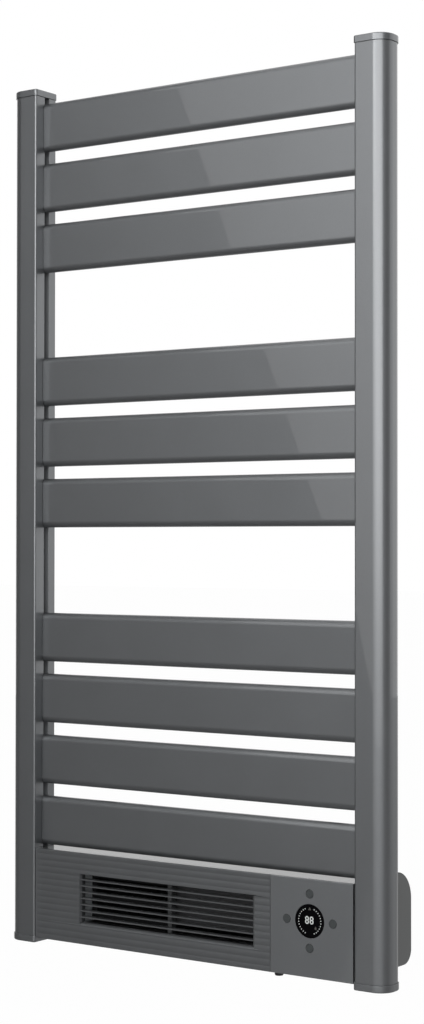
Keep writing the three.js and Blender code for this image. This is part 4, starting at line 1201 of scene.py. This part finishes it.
class HEATER_OT_filter_net(Operator):
    """Lay the fine net in the dust filter's tray"""

    bl_idname = "heater.filter_net"
    bl_label = "Filter net"

    __annotations__ = lengths(
        pitch=(2.2, "Distance between two threads"),
        thread=(0.3, "Width of a thread"),
        rim=(5, "Width of the tray's rim"),
        height=(1, "The tray's underside to the net"),
    )

    def execute(self, context):
        low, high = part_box("intake_filter")
        x0 = span("front_panel", 0)[0] + context.scene.heater_sizes.outlet_inset
        x1, inset = high.x - self.rim, SLOT_RAIL + self.rim
        y0, y1 = low.y + inset, high.y - inset
        half, z = self.thread / 2, low.z + self.height
        upper = z + 0.55 * self.thread
        threads = [block((x - half, y0, upper), (x + half, y1, upper + half))
                   for x in self.places(x0, x1)]
        threads += [block((x0, y - half, z), (x1, y + half, z + half)) for y in self.places(y0, y1)]
        piece("filter_mesh", together(*threads), "net", body="filter")
        return {"FINISHED"}

    def places(self, start, end):
        """Where the threads lie between two ends."""
        count = int((end - start) / self.pitch)
        return [start + (end - start) * step / count for step in range(1, count)]


# ---------------------------------------------------------------- display and keys

DISPLAY_FLANGE, KEY_FLANGE = 2.2 * MM, 1.2 * MM
SIGN_FRONT, SIGN_BACK = 0.08 * MM, 0.01 * MM  # the glass to its signs' two faces
MARK_FRONT, MARK_BACK = 0.02 * MM, 0.1 * MM  # a key's mark in front of its face and behind it


def pushed(outlines, front, back):
    """Signs of some thickness, from outlines in (x, z)."""
    return [prism(outline, "Y", front, back) for outline in outlines]


class HEATER_OT_display(Operator):
    """Build the round window with its digits, tick ring and icons"""

    bl_idname = "heater.display"
    bl_label = "Display"

    __annotations__ = lengths(
        digit_height=(8.0, "Height of a digit"),
        digit_width=(4.5, "Width of a digit"),
        stroke=(1.25, "Thickness of a digit's bars"),
        bar_gap=(0.15, "Gap between two bars of a digit"),
        digit_pitch=(5.6, "Distance between the digits' middles"),
        digit_left=(0.5, "Digits' middle left of the display's"),
        digit_up=(1.0, "Digits' middle above the display's"),
        ring=(13.6, "Radius of the ring of ticks"),
    ) | counts(
        ticks=(12, 2, 40, "Ticks on each side of the ring"),
    )

    def execute(self, context):
        low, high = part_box("display_window")
        x, z = middle("display_window")
        flange, back, soft = half_width("display_window"), high.y - DISPLAY_FLANGE, 0.3 * MM
        r = context.scene.heater_sizes.display_radius
        profile = ([(0, low.y)] + arc(r - soft, low.y + soft, soft, -90, 0, 4)
                   + [(r, back), (flange, back), (flange, high.y), (0, high.y)])
        piece("display_glass_disc", turned(profile, "Y", (x, 0, z), 96), "glass",
              stands_for=["display_window"], sharp=50)
        face = (low.y - SIGN_FRONT, low.y - SIGN_BACK)
        bars = []
        for side in (-1, 1):
            bars += self.digit(x + side * self.digit_pitch / 2 - self.digit_left, z + self.digit_up)
        piece("display_digits", together(*pushed(bars, *face)), "lit")
        piece("display_ticks", together(*pushed(self.tick_marks(x, z), *face)), "lit_tick")
        piece("display_icons", fused(*pushed(self.icons(x, z), *face)), "lit_dim")
        return {"FINISHED"}

    def digit(self, x, z):
        """The seven bars of an 8, with pointed ends."""
        half = (self.digit_height - self.stroke) / 4
        aside = (self.digit_width - self.stroke) / 2
        lying = [(x, z + level * 2 * half, aside, 0) for level in (-1, 0, 1)]
        upright = [(x + end * aside, z + level * half, half, 90)
                   for level in (-1, 1) for end in (-1, 1)]
        bars, b = [], self.stroke / 2
        for x, z, reach, angle in lying + upright:
            a = reach - self.bar_gap / 2
            outline = [(-a, 0), (b - a, -b), (a - b, -b), (a, 0), (a - b, b), (b - a, b)]
            bars.append(swung(outline, angle, x, z))
        return bars

    def tick_marks(self, x, z):
        """Small bars in two arcs, left and right of the digits."""
        first, last, wide, long = 24, 156, 0.84 * MM, 1.1 * MM
        tick = bar(0, self.ring, wide, long)
        return [swung(tick, -side * (first + (last - first) * number / (self.ticks - 1)), x, z)
                for side in (-1, 1) for number in range(self.ticks)]

    @staticmethod
    def icons(x, z):
        """A small fan above the digits and a drop at their lower right."""
        lobe = arc(0, 0.85 * MM, 0.8 * MM, -60, 240, 10)
        fan = [swung(lobe, 120 * blade, x, z + 12.6 * MM) for blade in range(3)]
        x, z = x + 7.2 * MM, z - 6.8 * MM
        return fan + [arc(x, z - 0.3 * MM, 1.15 * MM, -200, 20, 14) + [(x, z + 2.0 * MM)]]


def key_signs(x, z):
    """The outlines of each key's sign, in (x, z)."""
    thin, long = 0.28 * MM, 1.6 * MM
    plus = [(thin, thin), (thin, long), (-thin, long), (-thin, thin), (-long, thin), (-long, -thin)]
    low = z - 0.2 * MM
    ring = arc(x, low, 2.1 * MM, 125, 415, 24) + arc(x, low, 1.6 * MM, 415, 125, 24)
    return {
        "power": [ring, bar(x, z + 1.3 * MM, 0.5 * MM, 1.9 * MM)],
        "mode": [bar(x, z + row * 1.2 * MM, 3.2 * MM, 0.45 * MM) for row in (-1, 0, 1)],
        "minus": [bar(x, z, 3.2 * MM, 0.55 * MM)],
        "plus": [swung(plus + [(-a, -b) for a, b in plus], 0, x, z)],
    }


class HEATER_OT_keys(Operator):
    """Build the four keys and the symbols on them"""

    bl_idname = "heater.keys"
    bl_label = "Keys"

    def execute(self, context):
        sizes = context.scene.heater_sizes
        radius, soft, stem = sizes.key_radius, 0.4 * MM, 2 * MM
        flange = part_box("control_panel")[0].y + sizes.panel_thickness + sizes.seat
        flange_back = flange + KEY_FLANGE
        for word in KEYS:
            node, body = f"{word}_key", f"{word}_button"
            low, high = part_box(node)
            (x, z), wide = middle(node), half_width(node)
            profile = ([(0, low.y)] + arc(radius - soft, low.y + soft, soft, -90, 0, 4)
                       + [(radius, flange), (wide, flange), (wide, flange_back),
                          (stem, flange_back), (stem, high.y), (0, high.y)])
            piece(f"{node}_cap", turned(profile, "Y", (x, 0, z)), "key", body=body,
                  stands_for=[node], sharp=50)
            marks = pushed(key_signs(x, z)[word], low.y - MARK_FRONT, low.y + MARK_BACK)
            piece(f"{word}_mark", together(*marks), "key_mark", body=body)
        return {"FINISHED"}


# ---------------------------------------------------------------- grommet, sensor and screws

ENTRY_FLANGE, GROMMET_BORE = 1.4 * MM, 3.3 * MM
RIB_PITCH, RIB_TAPER = 1.9 * MM, 0.25 * MM  # of the grommet's ribs
# Each screw's head radius, head height, shank radius and shank length.
SADDLE_SCREW = (3.4 * MM, 1.9 * MM, 1.8 * MM, 7 * MM)
PANEL_SCREW = (2.7 * MM, 1.5 * MM, 1.4 * MM, 6 * MM)
CLAMP_SHANK = (1.8 * MM, 8 * MM)
GRUB_RADIUS, GRUB_REACH, GRUB_LENGTH = 1.9 * MM, 12.3 * MM, 3.9 * MM  # reach: from the arm's axis


class HEATER_OT_entries(Operator):
    """Build the lead's grommet and the room sensor under the casing"""

    bl_idname = "heater.entries"
    bl_label = "Grommet and sensor"

    def execute(self, context):
        sizes = context.scene.heater_sizes
        skin = span("heater_casing", 2)[0]
        inside = skin + sizes.wall
        self.grommet(skin - sizes.seat, inside + sizes.seat)
        low, high = span("room_sensor", 2)
        place, flange, wide = centre("room_sensor"), inside + 3 * MM, half_width("room_sensor")
        r = wide - ENTRY_FLANGE
        profile = (arc(0, low + r, r, -90, 0, 8)
                   + [(r, flange), (wide, flange), (wide, high), (0, high)])
        piece("sensor_tip", turned(profile, "Z", (place.x, place.y, 0), 32), "dark",
              stands_for=["room_sensor"], sharp=50)
        return {"FINISHED"}

    @staticmethod
    def grommet(under, inside):
        """The ribbed sleeve, with a flange on each side of the casing's floor."""
        low, high = span("lead_grommet", 2)
        place, wide, bore = centre("lead_grommet"), half_width("lead_grommet"), GROMMET_BORE
        body, tip, soft, rim = wide - ENTRY_FLANGE, wide - 2.6 * MM, 0.4 * MM, 1.7 * MM
        profile = [(bore, low), (tip - soft, low), (tip, low + soft)]
        for rib in range(3):
            root, start = tip + RIB_TAPER * rib, low + 0.9 * MM + RIB_PITCH * rib
            profile += [(root + out * MM, start + up * MM)
                        for out, up in ((0, 0), (0.5, 0.4), (0.5, 0.9), (0, 1.3))]
        profile += [(body, under - rim - soft), (wide, under - rim), (wide, under), (body, under),
                    (body, inside), (wide, inside), (body, high), (bore, high)]
        piece("grommet_sleeve", turned(profile, "Z", (place.x, place.y, 0)), "rubber",
              stands_for=["lead_grommet"], sharp=50)


def screw_head(radius, height, shank, reach):
    """A pan head with a cross recess, on +Z, with its shank below."""
    dome = [(radius * a, height * (0.35 + 0.65 * b)) for a, b in arc(0, 0, 1, 0, 90, 8)[:-1]]
    profile = [(0, -reach), (shank, -reach), (shank, 0), (radius, 0)] + dome + [(0, height)]
    long, thin = radius * 1.24, radius * 0.28
    cross = fused(*[stack([[(x * k, y * k, z) for x, y in bar(0, 0, a, b)]
                           for k, z in ((0.55, height * 0.3), (1.0, height * 1.1))])
                    for a, b in ((long, thin), (thin, long))])
    return carve(turned(profile, "Z", (0, 0, 0), 32), cross)


def screws(name, places, direction, radius, height, shank, reach):
    """Like screws as one piece, each with its head's seat at a place and turned a little."""
    aim = Vector((0, 0, 1)).rotation_difference(Vector(direction)).to_matrix().to_4x4()
    made = []
    for number, place in enumerate(places):
        screw = screw_head(radius, height, shank, reach)
        matrix = Matrix.Translation(Vector(place)) @ aim @ Matrix.Rotation(0.7 * number, 4, "Z")
        bmesh.ops.transform(screw, matrix=matrix, verts=screw.verts)
        made.append(screw)
    piece(name, together(*made), "steel", sharp=40)


class HEATER_OT_fasteners(Operator):
    """Put the small screws in: behind the posts, in the brackets and under the heater"""

    bl_idname = "heater.fasteners"
    bl_label = "Screws"

    def execute(self, context):
        rail, heater = context.scene.rail_sizes, context.scene.heater_sizes
        lift, backward, downward = 0.05 * MM, (0, 1, 0), (0, 0, -1)
        inner, back = span("right_post", 0)[0], span("right_post", 1)[1] + lift
        for word, side in SIDES:
            places = [(side * (inner + rail.clamp_inset), back, middle(node)[1]) for node in SLATS]
            screws(f"{word}_clamp_screws", places, backward, rail.clamp_head / 2, rail.clamp_height,
                   *CLAMP_SHANK)
        saddles, grubs = [], []
        for word in BRACKETS:
            arm = f"{word}_bracket_arm"
            (x, z), y = middle(arm), span(arm, 1)[0] + rail.saddle_thickness + lift
            saddles += [(x + end * rail.saddle_spread / 2, y, z) for end in (-1, 1)]
            grub, tip = circle(x, -rail.grub_position, GRUB_RADIUS, 6), z - GRUB_REACH
            grubs.append(prism(grub, "Z", tip, tip + GRUB_LENGTH))
        screws("saddle_screws", saddles, backward, *SADDLE_SCREW)
        piece("grub_screws", together(*grubs), "steel", sharp=30)
        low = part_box("heater_casing")[0]
        under = [(x, low.y + heater.screw_back, low.z - lift) for x in panel_screw_places()]
        screws("panel_screws", under, downward, *PANEL_SCREW)
        return {"FINISHED"}


# ---------------------------------------------------------------- finishes on the CAD solids

class HEATER_OT_finishes(Operator):
    """Make the finishes and put them on the CAD solids that stay in view"""

    bl_idname = "heater.finishes"
    bl_label = "Finishes"

    def execute(self, context):
        LOOKS.update(make_finishes())
        for name, nodes in CAD_LOOKS.items():
            for node in nodes:
                for slot in frame["nodes"][node].material_slots:
                    slot.material = LOOKS[name]
        return {"FINISHED"}


# ---------------------------------------------------------------- stage

# Bearings are in degrees round the rail: 0 in front and 90 at the right.
SOFTBOX_EDGES = (-19.4, 0.0, 51.0)
LEFT_EDGES, RIGHT_EDGES = (-107.0, -27.5), (51.2, 105.0)
LEFT_LEAN = 4.75
LAMP_PLACE, LAMP_SIZE = (0.9, -2.4, 2.2), (1.6, 1.2)
SOFTBOX_HEIGHTS, FLAG_TOP, FLOOR_EDGE = (-0.2, 3.2), 6.1, 11.9
CARD_LIFT = 0.1  # the floor to the dark cards on it
FLOOR_WIDTH, FLOOR_WHITE = 80.0, 0.95  # how much of the floor's seen shade is plain white
# Brightness of the softbox's two parts at heights in metres.
LEFT_FADE = ((-0.2, 0.08), (0.1, 0.17), (0.4, 0.29), (0.9, 0.4), (1.4, 0.62), (1.8, 0.86),
             (2.2, 1.0))
RIGHT_FADE = ((-0.2, 0.2), (0.1, 0.34), (0.4, 0.6), (0.8, 0.8), (1.4, 0.74), (3.2, 0.64))
AIM_AT = (0, -0.1, 0.43)


def background_rays(look):
    """1 for rays that the camera, a gloss or a clear surface sends, else 0."""
    outputs = look.node("ShaderNodeLightPath").socket.node.outputs
    camera, gloss, clear = (Term(look, outputs[f"Is {kind} Ray"])
                            for kind in ("Camera", "Glossy", "Transmission"))
    total = camera + gloss + clear
    return look.node("ShaderNodeMath", {"operation": "MINIMUM"}, {0: total, 1: 1.0})


def bearing_row(radius, z, start, end, columns):
    """Points at a height round the rail, between two bearings."""
    angles = [math.radians(start + (end - start) * column / columns)
              for column in range(columns + 1)]
    return [(radius * math.sin(a), AIM_AT[1] - radius * math.cos(a), z) for a in angles]


def bent_card(name, edges, heights, brightness, fade=(), lean=0.0):
    """A reflector on a cylinder round the rail. Its right edge moves left by lean degrees for
    each metre of height."""
    radius, (low, high), (start, end) = bpy.context.scene.studio.card_distance, heights, edges
    rows, columns = 12, 40
    levels = [low + (high - low) * row / rows for row in range(rows + 1)]
    reflector(name, [bearing_row(radius, z, start, end - lean * z, columns) for z in levels],
              brightness, fade)


def reflector(name, rows, brightness, fade=()):
    """A sheet through rows of points that only glossy surfaces see. Its brightness follows fade,
    pairs of a height and a share."""
    sheet = bmesh.new()
    grid = [[sheet.verts.new(point) for point in row] for row in rows]
    for lower, upper in zip(grid, grid[1:]):
        for here in range(len(lower) - 1):
            sheet.faces.new((lower[here], lower[here + 1], upper[here + 1], upper[here]))
    made = put(name, mesh_of(name, sheet))
    look = new_look(name)
    glow = WHITE
    if fade:
        low, high = fade[0][0], fade[-1][0]
        _, _, up = look.split(look.place())
        glow = look.ramp((up - low) * (1 / (high - low)),
                         *[((z - low) / (high - low), share) for z, share in fade])
    light = look.node("ShaderNodeEmission", values={"Color": glow, "Strength": brightness})
    look.close(light).cycles.emission_sampling = "NONE"
    made.data.materials.append(look.owner)
    for ray in ("camera", "diffuse", "shadow", "transmission", "volume_scatter"):
        setattr(made, f"visible_{ray}", False)


class HEATER_OT_stage(Operator):
    """Set up the camera, the floor, the white surroundings and the lamps"""

    bl_idname = "heater.stage"
    bl_label = "Stage"

    def execute(self, context):
        studio = context.scene.studio
        level = CAD_BOX[0].z - studio.floor_drop
        self.camera(studio)
        self.surroundings(studio)
        self.floor(level)
        self.cards(studio, level + CARD_LIFT)
        self.lamp(studio)
        context.scene.view_settings.view_transform = "Standard"
        return {"FINISHED"}

    @staticmethod
    def aimed(made, place, direction, roll=0.0):
        """Puts a camera or a lamp in its place and points it."""
        made.location = place
        made.rotation_mode = "QUATERNION"
        aim = Vector(direction).to_track_quat("-Z", "Y")
        made.rotation_quaternion = aim @ Quaternion((0, 0, 1), roll)

    def camera(self, studio):
        """The photograph's camera."""
        data = bpy.data.cameras.new("camera")
        data.lens = studio.lens
        data.sensor_width = 36
        data.clip_end = 100
        made = put("camera", data)
        self.aimed(made, studio.camera_place, studio.camera_aim, studio.camera_roll)
        bpy.context.scene.camera = made

    def lamp(self, studio):
        """A large soft lamp in front, above the camera's side."""
        data = bpy.data.lights.new("key_lamp", "AREA")
        data.shape = "RECTANGLE"
        data.size, data.size_y = LAMP_SIZE
        data.energy = studio.key_power
        made = put("key_lamp", data)
        made.visible_glossy = False
        self.aimed(made, LAMP_PLACE, Vector(AIM_AT) - Vector(LAMP_PLACE))

    @staticmethod
    def surroundings(studio):
        """White for the camera and for gloss, a softer grey as light."""
        world = bpy.data.worlds.new("studio")
        bpy.context.scene.world = world
        look = Look(world)
        light, seen = (look.node("ShaderNodeBackground", values={"Color": WHITE, "Strength": power})
                       for power in (studio.ambient, 1.0))
        both = look.node("ShaderNodeMixShader", values={
            0: background_rays(look), 1: light, 2: seen})
        look.close(both, "ShaderNodeOutputWorld")

    @staticmethod
    def floor(level):
        """A wide pale floor that keeps the rail's shadow."""
        mesh = bpy.data.meshes.new("floor")
        corners = [(x, y, level) for x, y in bar(0, 0, FLOOR_WIDTH, FLOOR_WIDTH)]
        mesh.from_pydata(corners, [], [(0, 1, 2, 3)])
        look = new_look("floor")
        lit = look.node("ShaderNodeBsdfDiffuse", values={"Color": (0.97, 0.97, 0.97, 1)})
        white = look.node("ShaderNodeEmission", values={"Color": WHITE, "Strength": 1.0})
        seen = look.node("ShaderNodeMixShader", values={0: FLOOR_WHITE, 1: lit, 2: white})
        both = look.node("ShaderNodeMixShader", values={0: background_rays(look), 1: lit, 2: seen})
        look.close(both).cycles.emission_sampling = "NONE"
        mesh.materials.append(look.owner)
        put("floor", mesh)

    @staticmethod
    def cards(studio, level):
        """What the glossy paint mirrors: a softbox in front, dark cards beside and below it."""
        low_flag, flags, near = studio.low_flag, (level, FLAG_TOP), studio.card_distance
        for word, edges, brightness, fade in (
                ("left", SOFTBOX_EDGES[:2], studio.softbox_left, LEFT_FADE),
                ("right", SOFTBOX_EDGES[1:], studio.softbox, RIGHT_FADE)):
            bent_card(f"softbox_{word}", edges, SOFTBOX_HEIGHTS, brightness, fade)
        bent_card("left_flag", LEFT_EDGES, flags, studio.left_flag, lean=LEFT_LEAN)
        bent_card("right_flag", RIGHT_EDGES, flags, studio.right_flag)
        for name, start, end, inner, outer, brightness in (
                ("left_floor_flag", *LEFT_EDGES, 0.0, near, studio.left_flag),
                ("right_floor_flag", *RIGHT_EDGES, 0.0, near, studio.right_flag),
                ("front_floor_flag", LEFT_EDGES[1], RIGHT_EDGES[0], 0.0, near, low_flag),
                ("back_floor_flag", RIGHT_EDGES[1], 360 + LEFT_EDGES[0], 0.0, near, low_flag),
                ("far_floor_flag", -180, 180, near, FLOOR_EDGE, low_flag)):
            rows = [bearing_row(radius, level, start, end, 48) for radius in (inner, outer)]
            reflector(name, rows, brightness)


# ---------------------------------------------------------------- sidebar panel and run

OPERATORS = (
    HEATER_OT_finishes, HEATER_OT_posts, HEATER_OT_caps, HEATER_OT_slats, HEATER_OT_brackets,
    HEATER_OT_casing, HEATER_OT_front_panel, HEATER_OT_control_panel, HEATER_OT_grille,
    HEATER_OT_rotor, HEATER_OT_filter_net, HEATER_OT_display, HEATER_OT_keys, HEATER_OT_entries,
    HEATER_OT_fasteners, HEATER_OT_stage,
)


class HEATER_PT_panel(Panel):
    """Lists the steps that build the rail"""

    bl_idname = "HEATER_PT_panel"
    bl_label = "Towel rail"
    bl_space_type = "VIEW_3D"
    bl_region_type = "UI"
    bl_category = "Towel Rail"

    def draw(self, context):
        for operator in OPERATORS:
            self.layout.operator(operator.bl_idname)
        for name, _ in SETTINGS:
            group = getattr(context.scene, name)
            box = self.layout.box()
            for field in group.bl_rna.properties.keys():
                if field not in ("rna_type", "name"):
                    box.prop(group, field)


CLASSES = (*[group for _, group in SETTINGS], *OPERATORS, HEATER_PT_panel)


def register():
    """Makes the settings, the operators and the panel known to Blender."""
    for item in CLASSES:
        bpy.utils.register_class(item)
    for name, group in SETTINGS:
        setattr(bpy.types.Scene, name, PointerProperty(type=group))


def unregister():
    """Takes them away again."""
    for name, _ in SETTINGS:
        delattr(bpy.types.Scene, name)
    for item in reversed(CLASSES):
        bpy.utils.unregister_class(item)


def main():
    """Builds everything in order."""
    register()
    for operator in OPERATORS:
        group, name = operator.bl_idname.split(".")
        getattr(getattr(bpy.ops, group), name)()


if __name__ == "__main__":
    main()
